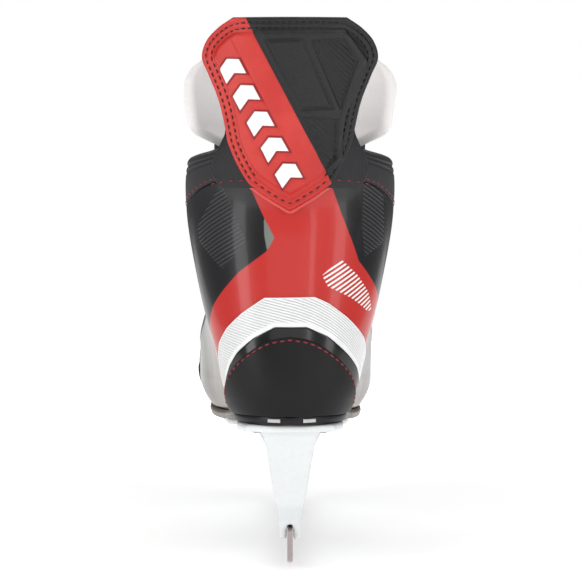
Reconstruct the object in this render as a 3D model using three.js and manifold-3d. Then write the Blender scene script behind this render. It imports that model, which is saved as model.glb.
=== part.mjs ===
// Ice hockey skate for the right foot, senior size 8, in millimetres. +X is to the right seen from
// behind, +Y points to the toe and +Z is up. The origin lies on the ice under the middle of the
// bounding box. Lengths along the foot are written as h, measured forward from the heel plane.
//
// The whole boot is cut from one skin: a stack of foot outlines whose back line, front line and
// width change with height. skin(theta, z) gives a point of it, and bootSolid(offset) gives the
// closed solid that lies a true distance outside or inside it. Each layer of the boot is the space
// between two such solids, trimmed to its own outline.
import * as THREE from "three";
import { mergeVertices } from "three/addons/utils/BufferGeometryUtils.js";
import Module from "manifold-3d";

const wasm = await Module();
wasm.setup();

// ---- driving dimensions ----
const HEEL_PLANE_Y = -140; // where h = 0 lies, so that the part is centred along Y
const SHELL = 3.4; // composite quarter
const LINER = 4.6; // padded lining inside it
const COLLAR = 8.4; // padded collar above the quarters
const FACING = 1.5; // eyelet strip laid on the quarter
const TONGUE_LAYER = 7.5; // felt tongue
const GAP = 0.3; // between pieces that touch
const THROAT = 21; // half of the opening between the facings
const FACING_REACH = 42; // how far from the middle the eyelet strips reach
const EYELETS = 11; // on each side
const EYELET_X = 31; // distance of the eyelet row from the middle
const EYELET_BORE = 3;
const EYELET_FLANGE = 4.9;
const LACE = 1.6; // radius of the lace drawn round
const SOLE = 5; // outsole thickness
const RUNNER = 3; // steel thickness
const GUARD_TOP = 296;
const GUARD_HINGE_Z = 230;
const TONGUE_TOP = 283;
const TONGUE_HINGE_Z = 231; // above the collar, so that the flap folds over it
const REAR_BOLT_H = 52;
const FRONT_BOLT_H = 214;

// ---- small helpers ----
const { PI, cos, sin, sqrt, hypot, abs, min, max } = Math;

// A smooth curve through hand-placed knots [position, value], flat beyond its ends.
function through(knots) {
  const slope = (i) => {
    const a = knots[max(i - 1, 0)];
    const b = knots[min(i + 1, knots.length - 1)];
    return (b[1] - a[1]) / (b[0] - a[0]);
  };
  return (at) => {
    if (at <= knots[0][0]) return knots[0][1];
    const last = knots.length - 1;
    if (at >= knots[last][0]) return knots[last][1];
    const i = knots.findIndex((k) => k[0] > at) - 1;
    const [x0, y0] = knots[i];
    const [x1, y1] = knots[i + 1];
    const span = x1 - x0;
    const t = (at - x0) / span;
    const back = 1 - t;
    return (
      y0 * back * back * (1 + 2 * t) +
      y1 * t * t * (3 - 2 * t) +
      span * t * back * (slope(i) * back - slope(i + 1) * t)
    );
  };
}

const alongY = (h) => HEEL_PLANE_Y + h;

// The closed solid of a three.js geometry.
function solid(geometry) {
  const bare = geometry.clone();
  bare.deleteAttribute("normal");
  bare.deleteAttribute("uv");
  const merged = mergeVertices(bare, 1e-4);
  return new wasm.Manifold(
    new wasm.Mesh({
      numProp: 3,
      vertProperties: merged.attributes.position.array,
      triVerts: new Uint32Array(merged.index.array),
    }),
  );
}

function geometryOf(body) {
  const made = body.getMesh();
  const positions = new Float32Array(made.numVert * 3);
  for (let i = 0; i < made.numVert; i++)
    for (let k = 0; k < 3; k++) positions[3 * i + k] = made.vertProperties[made.numProp * i + k];
  const geometry = new THREE.BufferGeometry();
  geometry.setAttribute("position", new THREE.BufferAttribute(positions, 3));
  geometry.setIndex(new THREE.BufferAttribute(made.triVerts, 1));
  geometry.computeVertexNormals();
  return geometry;
}

// A smooth shape in a plane through hand-placed points.
function outline(points, smooth = false, divisions = 24) {
  const flat = points.map(([a, b]) => new THREE.Vector2(a, b));
  return new THREE.Shape(smooth ? new THREE.SplineCurve(flat).getPoints(divisions) : flat);
}

// Prisms: a shape drawn in one plane and pulled along the third axis from low to high.
function prism(shape, low, high, place) {
  const made = new THREE.ExtrudeGeometry(shape, { depth: high - low, bevelEnabled: false,
    curveSegments: 6 });
  made.translate(0, 0, low);
  made.applyMatrix4(place);
  return solid(made);
}
const FROM_SIDE = new THREE.Matrix4().set(0, 0, 1, 0, 1, 0, 0, HEEL_PLANE_Y, 0, 1, 0, 0, 0, 0, 0, 1);
const FROM_ABOVE = new THREE.Matrix4().set(1, 0, 0, 0, 0, 1, 0, HEEL_PLANE_Y, 0, 0, 1, 0, 0, 0, 0, 1);
const FROM_BEHIND = new THREE.Matrix4().set(1, 0, 0, 0, 0, 0, -1, HEEL_PLANE_Y, 0, 1, 0, 0, 0, 0, 0, 1);
// (h, z)
const sidePrism = (points, x0, x1, smooth) => prism(outline(points, smooth), x0, x1, FROM_SIDE);
// (x, h)
const planPrism = (points, z0, z1, smooth) => prism(outline(points, smooth), z0, z1, FROM_ABOVE);
// (x, z), pulled from h0 to h1; the plane's normal points backwards, so the depths are turned round.
const rearPrism = (points, h0, h1, smooth) => prism(outline(points, smooth), -h1, -h0, FROM_BEHIND);

function cylinder(radius, from, to, segments = 16) {
  const axis = new THREE.Vector3().subVectors(to, from);
  const made = new THREE.CylinderGeometry(radius, radius, axis.length(), segments);
  made.translate(0, axis.length() / 2, 0);
  made.applyQuaternion(new THREE.Quaternion().setFromUnitVectors(new THREE.Vector3(0, 1, 0),
    axis.normalize()));
  made.translate(from.x, from.y, from.z);
  return solid(made);
}

const union = (bodies) => bodies.reduce((all, one) => all.add(one));

// ---- the skin of the boot ----
const backLine = through([[58, 9], [70, 7.5], [82, 3.5], [98, 0], [118, 0.6], [140, 5], [160, 9],
  [178, 12], [194, 12.5], [210, 10.5], [228, 7], [242, 4]]);
const frontLine = through([[58, 272], [70, 280], [80, 286], [90, 289], [100, 285], [107, 277],
  [113, 265], [119, 250], [125, 236], [131, 221], [137, 206], [143.5, 190], [150, 175], [158, 160],
  [167, 147], [178, 137], [190, 129], [202, 123], [215, 119.5], [228, 117], [242, 115.5]]);
const backRound = through([[58, 33], [98, 36], [140, 40], [178, 46], [205, 50], [242, 48]]);
const frontRound = through([[58, 56], [90, 62], [110, 72], [122, 80], [137, 86], [150, 88], [160, 84],
  [178, 72], [195, 58], [215, 53], [242, 52]]);
const lowWidth = through([[0, 34], [40, 35], [75, 34], [110, 36], [150, 43], [185, 50], [215, 51.5],
  [245, 49], [289, 44]]);
const highWidth = through([[0, 50], [55, 57], [110, 56], [150, 54.5], [200, 52.5], [289, 46]]);
const widening = through([[92, 0], [110, 0.2], [134, 0.52], [158, 0.76], [186, 0.97], [206, 1],
  [226, 0.93], [242, 0.88]]);
const ABOVE_BOARD = 4.8; // the lining starts this far above the sole line, clear of the insole board
const HEEL_SOLE = 84; // height of the sole under the heel
const soleTop = through([[0, HEEL_SOLE], [60, 83.5], [92, 80.3], [130, 73.6], [170, 69.6], [230, 69],
  [268, 71], [292, 75]]);
// the toe lies towards the inside of the foot
const footAxis = through([[90, 0], [170, -1.5], [289, -6]]);
const TUCK_HEIGHT = 18; // the sides draw in below this height above the sole
const TUCK = 0.15;

function roundEnd(distance, radius) {
  const t = 1 - min(max(distance / radius, 0), 1);
  return sqrt(max(0, 1 - t * t));
}

function halfWidth(h, z) {
  const base = lowWidth(h) + (highWidth(h) - lowWidth(h)) * widening(z);
  const above = min(max(z - soleTop(h), 0), TUCK_HEIGHT);
  const tuck = 1 - TUCK * ((TUCK_HEIGHT - above) / TUCK_HEIGHT) ** 2;
  return base * tuck * roundEnd(h - backLine(z), backRound(z)) * roundEnd(frontLine(z) - h,
    frontRound(z));
}

const REAR_SPREAD = 60; // length of each outline that its rear half of points covers

// theta runs from the middle of the heel (0) round the right side to the front (PI) and back round
// the left.
function skin(theta, z) {
  const turn = ((theta % (2 * PI)) + 2 * PI) % (2 * PI);
  const s = turn <= PI ? turn / PI : 2 - turn / PI;
  const back = backLine(z);
  const ahead = frontLine(z) - back - REAR_SPREAD;
  const h = s < 0.5 ? back + REAR_SPREAD * (1 - cos(PI * s)) : back + REAR_SPREAD + ahead * sin(PI * (s - 0.5));
  const side = turn <= PI ? 1 : -1;
  return new THREE.Vector3(footAxis(h) + side * halfWidth(h, z), alongY(h), z);
}

function skinNormal(theta, z) {
  const around = skin(theta + 0.01, z).sub(skin(theta - 0.01, z));
  const upwards = skin(theta, z + 0.5).sub(skin(theta, z - 0.5));
  return around.cross(upwards).normalize();
}

const offsetSkin = (theta, z, offset) => skin(theta, z).addScaledVector(skinNormal(theta, z), offset);

const LEVELS = [60, 76, 90, 101, 110, 118, 126, 134, 143, 153, 166, 182, 200, 220, 244];
const AROUND = 28;

// A closed solid a true distance outside (offset > 0) or inside the skin: a cylinder whose points
// are moved onto it.
function bootSolid(offset) {
  const made = new THREE.CylinderGeometry(1, 1, 1, AROUND, LEVELS.length - 1);
  const points = made.attributes.position;
  for (let i = 0; i < points.count; i++) {
    const level = Math.round((points.getY(i) + 0.5) * (LEVELS.length - 1));
    const z = LEVELS[level];
    const onAxis = hypot(points.getX(i), points.getZ(i)) < 0.5;
    const theta = Math.atan2(points.getX(i), points.getZ(i));
    const at = onAxis ? new THREE.Vector3(0, alongY((backLine(z) + frontLine(z)) / 2),
      z) : offsetSkin(theta, z, offset);
    points.setXYZ(i, at.x, at.y, at.z);
  }
  return solid(made);
}

const layers = new Map();
function within(offset) {
  if (!layers.has(offset)) layers.set(offset, bootSolid(offset));
  return layers.get(offset);
}
const layer = (outer, inner) => within(outer).subtract(within(inner));

// ---- trimming outlines, drawn from the side as (h, z) ----
const BEHIND = -20;
const AHEAD = 310;
const WIDE = 80;
const toeJoint = (z) => 224 + (131 - z) * 0.17; // where the toe cap meets the quarters
const soleLine = [0, 60, 76, 92, 110, 130, 150, 170, 200, 230, 250, 268, 284,
  300].map((h) => [h, soleTop(h)]);
const seam = through([[-20, 212], [10, 211], [30, 207], [60, 194], [88, 190], [112, 192], [135, 200]]);
const seamLine = [-20, 10, 30, 45, 60, 88, 112, 140].map((h) => [h, seam(h)]);
const collarTop = through([[-20, 229], [18, 228], [32, 224], [60, 221.5], [90, 224], [112, 229],
  [130, 229]]);
const collarLine = [-20, 18, 32, 60, 90, 112, 130].map((h) => [h, collarTop(h)]);
const shifted = (line, by) => line.map(([h, z]) => [h, z + by]);

const aboveSole = sidePrism([...shifted(soleLine, GAP), [AHEAD, 300], [BEHIND, 300],
  [BEHIND, HEEL_SOLE + GAP]], -WIDE, WIDE);
const aboveBoard = sidePrism([...shifted(soleLine, ABOVE_BOARD), [AHEAD, 300], [BEHIND, 300],
  [BEHIND, HEEL_SOLE + ABOVE_BOARD]], -WIDE, WIDE);
const behindToe = sidePrism([[BEHIND, 40], [toeJoint(40) - GAP, 40], [toeJoint(300) - GAP, 300],
  [BEHIND, 300]], -WIDE, WIDE);
const toeSide = sidePrism([[toeJoint(40), 40], [AHEAD, 40], [AHEAD, 300], [toeJoint(300), 300]], -WIDE,
  WIDE);
const belowSeam = sidePrism([...seamLine, [BEHIND + 340, 170], [AHEAD, 40], [BEHIND, 40]], -WIDE, WIDE);
const aboveSeam = sidePrism([...shifted(seamLine, GAP), [AHEAD, 172], [AHEAD, 300], [BEHIND, 300]],
  -WIDE, WIDE);
const belowCollarTop = sidePrism([...collarLine, [AHEAD, 229], [AHEAD, 40], [BEHIND, 40]], -WIDE, WIDE);

// A vertical wall that follows the foot's own middle line, between two distances from it.
function strip(x0, x1, h0, h1, z0, z1) {
  const stations = [0, 0.25, 0.5, 0.75, 1].map((t) => h0 + (h1 - h0) * t);
  const near = stations.map((h) => [footAxis(h) + x0, h]);
  const far = stations.map((h) => [footAxis(h) + x1, h]).reverse();
  return planPrism([...near, ...far], z0, z1);
}
const throat = strip(-THROAT, THROAT, 86, 216, 100, 260).add(
  cylinder(THROAT, new THREE.Vector3(footAxis(214), alongY(205), 100), new THREE.Vector3(footAxis(214),
    alongY(205), 260), 20),
);
// The guard's base covers the notch at the back, a V whose point is sewn low on the heel.
const V_NOTCH = [[0, 194], [22, 207.5], [33, GUARD_HINGE_Z - 0.5], [-33, GUARD_HINGE_Z - 0.5],
  [-22, 207.5]];

const SIDES = { left: -1, right: 1 };
const halfSpace = (side) => {
  const reach = side < 0 ? [-WIDE, -GAP / 2] : [GAP / 2, WIDE];
  return strip(reach[0], reach[1], BEHIND, AHEAD, 40, 300);
};
const halves = { left: halfSpace(-1), right: halfSpace(1) };

// ---- eyelets and their places ----
// The point of the skin at a height and distance from the foot's middle, on the front of the boot.
function frontTheta(z, x) {
  let low = PI * 0.5;
  let high = PI;
  for (let i = 0; i < 30; i++) {
    const theta = (low + high) / 2;
    const p = skin(theta, z);
    if (p.x - footAxis(p.y - HEEL_PLANE_Y) > x) low = theta;
    else high = theta;
  }
  return (low + high) / 2;
}

const EYELET_LOW_Z = 130.5;
const EYELET_HIGH_Z = 219;
const eyeletTrail = [];
for (let z = EYELET_LOW_Z; z <= EYELET_HIGH_Z; z += 0.5) eyeletTrail.push(skin(frontTheta(z, EYELET_X),
  z));
const trailLength = eyeletTrail.reduce((sum, p, i) => sum + (i ? p.distanceTo(eyeletTrail[i - 1]) : 0),
  0);

function eyeletHeight(row) {
  const wanted = (trailLength * row) / (EYELETS - 1);
  let run = 0;
  for (let i = 1; i < eyeletTrail.length; i++) {
    run += eyeletTrail[i].distanceTo(eyeletTrail[i - 1]);
    if (run >= wanted) return eyeletTrail[i].z;
  }
  return EYELET_HIGH_Z;
}

function eyeletPlace(row, side) {
  const z = eyeletHeight(row);
  const theta = side * frontTheta(z, EYELET_X);
  return { at: skin(theta, z), normal: skinNormal(theta, z) };
}

function eyeletHoles(side) {
  const bars = [];
  for (let row = 0; row < EYELETS; row++) {
    const { at, normal } = eyeletPlace(row, side);
    const inside = at.clone().addScaledVector(normal, -9);
    bars.push(cylinder(EYELET_BORE + 1.1, inside, at.clone().addScaledVector(normal, 4), 8));
  }
  return union(bars);
}
const holes = { left: eyeletHoles(-1), right: eyeletHoles(1) };

// ---- materials ----
const paint = (color, roughness, metalness = 0) => new THREE.MeshStandardMaterial({ color, roughness,
  metalness });
const finish = {
  composite: paint(0x1f1f24, 0.3),
  redComposite: paint(0xc4302c, 0.35),
  white: paint(0xf0f1f1, 0.35),
  nylon: paint(0xf2f3f2, 0.4),
  steel: paint(0xa9a6a6, 0.3, 1),
  darkMetal: paint(0x55555a, 0.4, 1),
  synthetic: paint(0x2c2c2e, 0.6),
  rubbery: paint(0x2a2a2c, 0.55),
  felt: paint(0xece9e8, 0.95),
  lining: paint(0x4a4c50, 0.9),
  laceWhite: paint(0xf3f3f0, 0.8),
  foam: paint(0x2e3033, 0.9),
};

const skate = new THREE.Group();
function add(name, body, material) {
  const mesh = new THREE.Mesh(body.isBufferGeometry ? body : geometryOf(body), material);
  mesh.name = name;
  skate.add(mesh);
}

// ---- boot shell, lining, collar and facings ----
const LINING_EDGE = 44; // the lining stops behind the eyelet row
const liningStop = strip(-LINING_EDGE, LINING_EDGE, 92, 240, 100, 260);
const facingZone = sidePrism([[104, 232], [86, 190], [100, 150], [132, 118], [170, 98], [226, 92],
  [250, 140], [170, 232]], -WIDE, WIDE);

for (const [name, side] of Object.entries(SIDES)) {
  const half = halves[name];
  const shell = layer(0, -SHELL).intersect(half).intersect(aboveSole).intersect(behindToe)
    .intersect(belowSeam);
  add("quarter_" + name, shell.subtract(throat).subtract(holes[name]), finish.composite);

  const lining = layer(-SHELL - GAP, -SHELL - GAP - LINER).intersect(half).intersect(aboveSole)
    .intersect(behindToe);
  add("liner_" + name, lining.intersect(belowSeam).intersect(aboveBoard).subtract(liningStop),
    finish.lining);

  const collar = layer(0, -COLLAR).intersect(half).intersect(aboveSeam).intersect(belowCollarTop);
  const thinFront = within(-SHELL).intersect(strip(-LINING_EDGE, LINING_EDGE, 88, 240, 100, 260));
  add("collar_" + name, collar.subtract(thinFront).subtract(throat).subtract(holes[name]),
    finish.synthetic);

  const reach = strip(min(side * THROAT, side * FACING_REACH), max(side * THROAT, side * FACING_REACH),
    80, 240, 90, 260);
  const facing = layer(GAP + FACING, GAP).intersect(reach).intersect(facingZone).intersect(behindToe);
  add("facing_" + name, facing.intersect(belowCollarTop).subtract(throat).subtract(holes[name]),
    finish.synthetic);
}

for (const [name, side] of Object.entries(SIDES))
  for (let row = 0; row < EYELETS; row++) {
    const { at, normal } = eyeletPlace(row, side);
    const low = -SHELL + 0.4;
    const high = FACING + GAP + 0.8;
    const profile = [
      [EYELET_BORE, low], [EYELET_BORE + 0.6, low], [EYELET_BORE + 0.6, high], [EYELET_FLANGE, high],
      [EYELET_BORE, high + 0.9], [EYELET_BORE, low],
    ].map(([r, y]) => new THREE.Vector2(r, y));
    const ring = new THREE.LatheGeometry(profile, 8);
    ring.applyQuaternion(new THREE.Quaternion().setFromUnitVectors(new THREE.Vector3(0, 1, 0), normal));
    ring.translate(at.x, at.y, at.z);
    add("eyelet_" + name + "_" + String(row + 1).padStart(2, "0"), solid(ring), finish.darkMetal);
  }

// ---- toe cap ----
const TOE_PROUD = 1.4;
const toeCap = layer(TOE_PROUD, -SHELL).intersect(toeSide).intersect(aboveSole);
add("toe_cap", toeCap, finish.rubbery);

// ---- heel: white band and moulded cap, both laid on the quarters ----
const bandOuter = [[-20, 144.5], [2, 144.5], [14, 140], [28, 128], [40, 116], [52, 100], [57, 90]];
const bandInner = [[52, 90], [46, 101], [36, 112], [26, 120], [12, 127], [2, 128], [-20, 128]];
const heelBand = layer(GAP + 0.9, GAP).intersect(sidePrism([...bandOuter, ...bandInner], -WIDE, WIDE));
add("heel_band", heelBand, finish.white);

const capEdge = [[-20, 126.5], [2, 126.5], [12, 125.5], [25, 118.5], [35, 110.5], [45, 99.5], [53, 84],
  [54, 70], [-20, 70]];
const heelCap = layer(GAP + 2, GAP).intersect(sidePrism(capEdge, -WIDE, WIDE)).intersect(aboveSole);
add("heel_cap", heelCap, finish.rubbery);

// ---- tendon guard: a sewn base and a tall flexible flap ----
const GUARD_THICK = 3.2;
const guardBase = layer(GAP + GUARD_THICK, GAP).intersect(rearPrism(V_NOTCH, -30, 46));
add("tendon_guard_base", guardBase, finish.redComposite);

const guardHalf = through([[230, 33], [236, 34], [252, 37.6], [266, 43], [275, 46.5], [284, 44],
  [291, 37.5], [296, 30]]);
const guardBack = through([[226, 7.5], [244, 3.2], [266, -1.5], [296, -8]]);
const GUARD_CURVE = 0.0096; // how fast the guard wraps forward, per mm
const FLAP_THICK = 4.2;

// A box whose points are moved onto a curved sheet by place(across, up, rear): across runs from -1
// to 1 to the right, up from 0 to 1, and rear is 1 on the face that looks back and 0 on the face
// that looks forward.
function sheet(columns, rows, place) {
  const made = new THREE.BoxGeometry(2, 1, 2, columns, rows, 1);
  const points = made.attributes.position;
  for (let i = 0; i < points.count; i++) {
    const at = place(points.getX(i), points.getY(i) + 0.5, (points.getZ(i) + 1) / 2);
    points.setXYZ(i, at.x, at.y, at.z);
  }
  return solid(made);
}

const guardFlap = sheet(10, 9, (across, up, rear) => {
  const z = GUARD_HINGE_Z + 0.6 + (GUARD_TOP - GUARD_HINGE_Z - 0.6) * up;
  const x = across * guardHalf(z);
  const depth = guardBack(z) + GUARD_CURVE * x * x + (1 - rear) * FLAP_THICK - GUARD_THICK - GAP;
  return new THREE.Vector3(x, alongY(depth), z);
});
add("tendon_guard", guardFlap, finish.redComposite);

// ---- tongue: a laced part inside the boot and a flap that stands above it ----
const TONGUE_GAP = SHELL + 2 * LACE + 4; // room under the facings for the lace
const tongueZone = sidePrism([[226, 88], [226, 150], [170, 200], [150, TONGUE_HINGE_Z - 0.6],
  [80, TONGUE_HINGE_Z - 0.6], [94, 176], [126, 132], [180, 100]], -WIDE, WIDE);
const tongueReach = strip(-36, 36, 70, 250, 80, 260);
const felt = layer(-TONGUE_GAP, -TONGUE_GAP - TONGUE_LAYER).intersect(tongueZone)
  .intersect(tongueReach);
add("tongue_laced_part", felt, finish.felt);

const tongueHalf = through([[231, 54], [243, 58.5], [259, 61.5], [270, 59], [278, 50], [283, 36]]);
const tongueFront = through([[228, 107], [242, 111.5], [258, 119], [283, 131]]);
const TONGUE_CURVE = 0.0088;
const tongueFlap = sheet(12, 9, (across, up, rear) => {
  const z = TONGUE_HINGE_Z + (TONGUE_TOP - TONGUE_HINGE_Z) * up;
  const x = across * tongueHalf(z);
  const depth = tongueFront(z) - TONGUE_CURVE * x * x - rear * (TONGUE_LAYER + 1);
  return new THREE.Vector3(x, alongY(depth), z);
});
add("tongue_flap", tongueFlap, finish.felt);

// Plastic guard that spreads the pull of the lace, and the badge plate above it.
const guardZone = sidePrism([[222, 120], [214, 160], [150, 210], [130, 213], [90, 213], [112, 160],
  [150, 130], [214, 110]], -WIDE, WIDE);
const laceGuard = layer(-TONGUE_GAP + GAP + 1.2, -TONGUE_GAP + GAP).intersect(guardZone)
  .intersect(strip(-17, 17, 90, 222, 90, 260));
add("lace_guard", laceGuard, finish.rubbery);

const BADGE_LOW = TONGUE_HINGE_Z + 8;
const BADGE_HIGH = 277;
const BADGE_THICK = 1.6;
const badgeHalf = through([[239, 24], [248, 31], [264, 38], [272, 34], [277, 26]]);
const badge = sheet(8, 6, (across, up, rear) => {
  const z = BADGE_LOW + (BADGE_HIGH - BADGE_LOW) * up;
  const x = across * badgeHalf(z);
  const depth = tongueFront(z) - TONGUE_CURVE * x * x + 3 * GAP + (1 - rear) * BADGE_THICK;
  return new THREE.Vector3(x, alongY(depth), z);
});
add("tongue_badge", badge, finish.rubbery);

// ---- lace: one cord in crossed rows; both ends dive into the top eyelets and are tucked behind the collar ----
const ABOVE = GAP + FACING + LACE + 2.2;
const UNDER = SHELL + LACE + 0.8;
const OUT = 4.6; // the strand runs square to the eyelet as far as this on the outside
const IN = -4.4; // and as far as this on the inside
const CROSS_OVER = 1.4; // how deep in the throat each strand runs where the two cross
const CROSS_UNDER = 5.4;
const bend = EYELET_X - 5; // the strand turns out of the eyelet here

const onFront = (z, side, x, offset) => offsetSkin(side * frontTheta(z, x), z, offset);
const besideEyelet = (row, side, offset) => {
  const { at, normal } = eyeletPlace(row, side);
  return at.clone().addScaledVector(normal, offset);
};

// The strand leaves an eyelet outwards, crosses the throat and rises through the next eyelet on the
// other side.
function lacePass(row, side, drop) {
  const low = eyeletHeight(row);
  const high = eyeletHeight(row + 1);
  return [
    besideEyelet(row, side, OUT),
    onFront(low * 0.95 + high * 0.05, side, bend, ABOVE),
    onFront(low * 0.8 + high * 0.2, side, THROAT - 2.5, ABOVE - 2),
    offsetSkin(PI, (low + high) / 2, -drop),
    onFront(low * 0.2 + high * 0.8, -side, THROAT - 2.5, -UNDER),
    onFront(low * 0.05 + high * 0.95, -side, bend, -UNDER - 0.4),
    besideEyelet(row + 1, -side, IN),
  ];
}

// The last crossing stays outside, dives into the top eyelet and ends behind the collar.
function laceEnd(side, lift) {
  const row = EYELETS - 2;
  const low = eyeletHeight(row);
  const high = eyeletHeight(row + 1);
  return [
    besideEyelet(row, side, OUT),
    onFront(low, side, bend, ABOVE),
    onFront(low * 0.7 + high * 0.3, side, THROAT - 2.5, ABOVE + lift / 2),
    offsetSkin(PI, (low + high) / 2, ABOVE - 3 + lift),
    onFront(low * 0.3 + high * 0.7, -side, THROAT - 2.5, ABOVE + lift / 2),
    onFront(high, -side, bend, ABOVE),
    besideEyelet(row + 1, -side, OUT),
    besideEyelet(row + 1, -side, IN),
    onFront(high - 4, -side, EYELET_X + 4, -UNDER - 0.5),
    onFront(high - 14, -side, EYELET_X + 6.5, -UNDER - 0.5),
    onFront(high - 26, -side, EYELET_X + 6.5, -UNDER - 0.5),
  ];
}

function strand(firstSide, drop, lift) {
  const sideAt = (row) => (row % 2 ? -firstSide : firstSide);
  const points = [];
  for (let row = 0; row < EYELETS - 2; row++) points.push(...lacePass(row, sideAt(row), drop));
  return [...points, ...laceEnd(sideAt(EYELETS - 2), lift)];
}

const bottomBar = [
  besideEyelet(0, -1, IN),
  onFront(EYELET_LOW_Z, -1, bend, -UNDER - 0.4),
  offsetSkin(PI, EYELET_LOW_Z - 0.5, -UNDER),
  onFront(EYELET_LOW_Z, 1, bend, -UNDER - 0.4),
  besideEyelet(0, 1, IN),
];
const laceRoute = [...strand(-1, CROSS_OVER, 4).reverse(), ...bottomBar, ...strand(1, CROSS_UNDER, 0)];
const laceCurve = new THREE.CatmullRomCurve3(laceRoute, false, "centripetal");

// A round bar with one ring of points at each place of the route, carried along without twisting.
function cordAlong(route, curve, radius, sides) {
  const made = new THREE.CylinderGeometry(radius, radius, 1, sides, route.length - 1);
  const points = made.attributes.position;
  const frames = [];
  let across = new THREE.Vector3(0, 0, 1);
  route.forEach((at, i) => {
    const along = curve.getTangent(i / (route.length - 1));
    across = across.clone().addScaledVector(along, -across.dot(along)).normalize();
    frames.push({ at, across, aside: along.clone().cross(across) });
  });
  for (let i = 0; i < points.count; i++) {
    const { at, across: u, aside: v } = frames[Math.round((points.getY(i) + 0.5) * (route.length - 1))];
    const p = at.clone().addScaledVector(v, points.getX(i)).addScaledVector(u, points.getZ(i));
    points.setXYZ(i, p.x, p.y, p.z);
  }
  return solid(made);
}
add("lace", cordAlong(laceRoute, laceCurve, LACE, 6), finish.laceWhite);

// ---- outsole, board and footbed ----
const soleSlice = (top, bottom) => {
  const upper = shifted(soleLine, -top);
  const lower = shifted(soleLine, -bottom).reverse();
  return sidePrism([[BEHIND, HEEL_SOLE - top], ...upper, ...lower, [BEHIND, HEEL_SOLE - bottom]],
    -WIDE, WIDE);
};
// (h, distance from the foot's middle)
const rivetPairs = [[27, 18], [82, 17.5], [156, 21], [206, 28], [254, 21]];
const rivetSpots = rivetPairs.flatMap(([h, x]) => [[h, footAxis(h) - x], [h, footAxis(h) + x]]);
const RIVET = 2;
const RIVET_HEAD = 3.8;
const BOLT = 2.5;
const BOLT_FOOT = 3.3;
const upright = (h, x, z0, z1, radius, segments) =>
  cylinder(radius, new THREE.Vector3(x, alongY(h), z0), new THREE.Vector3(x, alongY(h), z1), segments);
const boltSpots = [REAR_BOLT_H, FRONT_BOLT_H];
const drilled = union([
  ...rivetSpots.map(([h, x]) => upright(h, x, 40, 95, RIVET + 0.3, 12)),
  ...boltSpots.map((h) => upright(h, 0, 40, 95, 7.2, 16)),
]);
const outsole = within(0.8).intersect(soleSlice(0, SOLE)).subtract(drilled);
add("outsole", outsole, finish.composite);

add("insole_board", within(-SHELL - 2 * GAP).intersect(soleSlice(-2.3, -0.5)).subtract(drilled),
  finish.foam);
add("footbed", within(-SHELL - LINER - 3 * GAP).intersect(soleSlice(-9.6, -5.6)), finish.foam);

// ---- blade holder ----
const plateTop = SOLE + GAP;
const PLATE = 4;
const rearPlate = planPrism([[-24, 9], [-12, 5.5], [12, 5.5], [24, 9], [29, 24], [29, 60], [24, 92],
  [-24, 92], [-29, 60], [-29, 24]], 50, 110, false);
const frontPlate = planPrism([[-24, 146], [24, 146], [34, 170], [37, 215], [32, 250], [18, 268],
  [-24, 268], [-38, 250], [-42, 215], [-37, 170]], 40, 100, false);
const plateSlice = soleSlice(plateTop, plateTop + PLATE);
const plates = rearPlate.add(frontPlate).intersect(plateSlice);

const rearTowerSide = sidePrism([[9, 17], [9, 26], [13, 34], [12, 79], [92, 77], [80, 57], [72, 44],
  [76, 37], [92, 32], [92, 16], [60, 15]], -40, 40);
const rearTowerEnd = rearPrism([[-5.6, 12], [5.6, 12], [6, 24], [10.4, 50], [14, 70], [17, 79],
  [-17, 79], [-14, 70], [-10.4, 50], [-6, 24]], 0, 130);
const frontTowerSide = sidePrism([[150, 64], [164, 50], [172, 40], [160, 33], [150, 16], [262, 16],
  [284, 23], [290, 33], [284, 38], [272, 46], [266, 65]], -40, 40);
const frontTowerEnd = rearPrism([[-5.6, 12], [5.6, 12], [6, 24], [12, 42], [19, 58], [24, 66],
  [-24, 66], [-19, 58], [-12, 42], [-6, 24]], 100, 300);
const beam = sidePrism([[70, 15.5], [70, 36], [90, 33], [120, 31.5], [150, 32.5], [172, 36],
  [172, 15.5]], -5.6, 5.6);
const slot = sidePrism([[-10, 0], [-10, 24.5], [300, 29.5], [300, 0]], -RUNNER / 2 - GAP,
  RUNNER / 2 + GAP);
const tabRoom = union(boltSpots.map((h) => sidePrism([[h - 11, 10], [h - 11, 41], [h + 11, 41],
  [h + 11, 10]], -RUNNER / 2 - GAP, RUNNER / 2 + GAP)));
const underPlates = sidePrism([[0, 10], [300, 10], ...shifted(soleLine.filter(([h]) => h < 295),
  -plateTop).reverse(), [0, HEEL_SOLE - plateTop]], -WIDE, WIDE);
const boltBores = union(boltSpots.map((h) => upright(h, 0, 10, 80, BOLT_FOOT + 0.5, 16)));
// Recesses let each rivet head sit against the plate beside the tower.
const recesses = union(rivetSpots.map(([h, x]) => upright(h, x, 45, soleTop(h) - plateTop - PLATE,
  RIVET_HEAD + 0.5, 12)));
// Lightening hollows open upwards behind each bolt, as in a moulded tower.
const hollows = union([
  sidePrism([[62, 80], [66, 50], [76, 62], [82, 80]], -8, 8),
  sidePrism([[172, 70], [178, 44], [198, 44], [200, 70]], -11, 11),
  sidePrism([[228, 70], [228, 44], [252, 44], [258, 70]], -10, 10),
]);
const towers = rearTowerSide.intersect(rearTowerEnd).add(frontTowerSide.intersect(frontTowerEnd))
  .add(beam).intersect(underPlates);
const holder = towers.subtract(recesses).add(plates).subtract(hollows).subtract(slot).subtract(tabRoom)
  .subtract(boltBores).subtract(drilled);
add("blade_holder", holder, finish.nylon);

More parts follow.
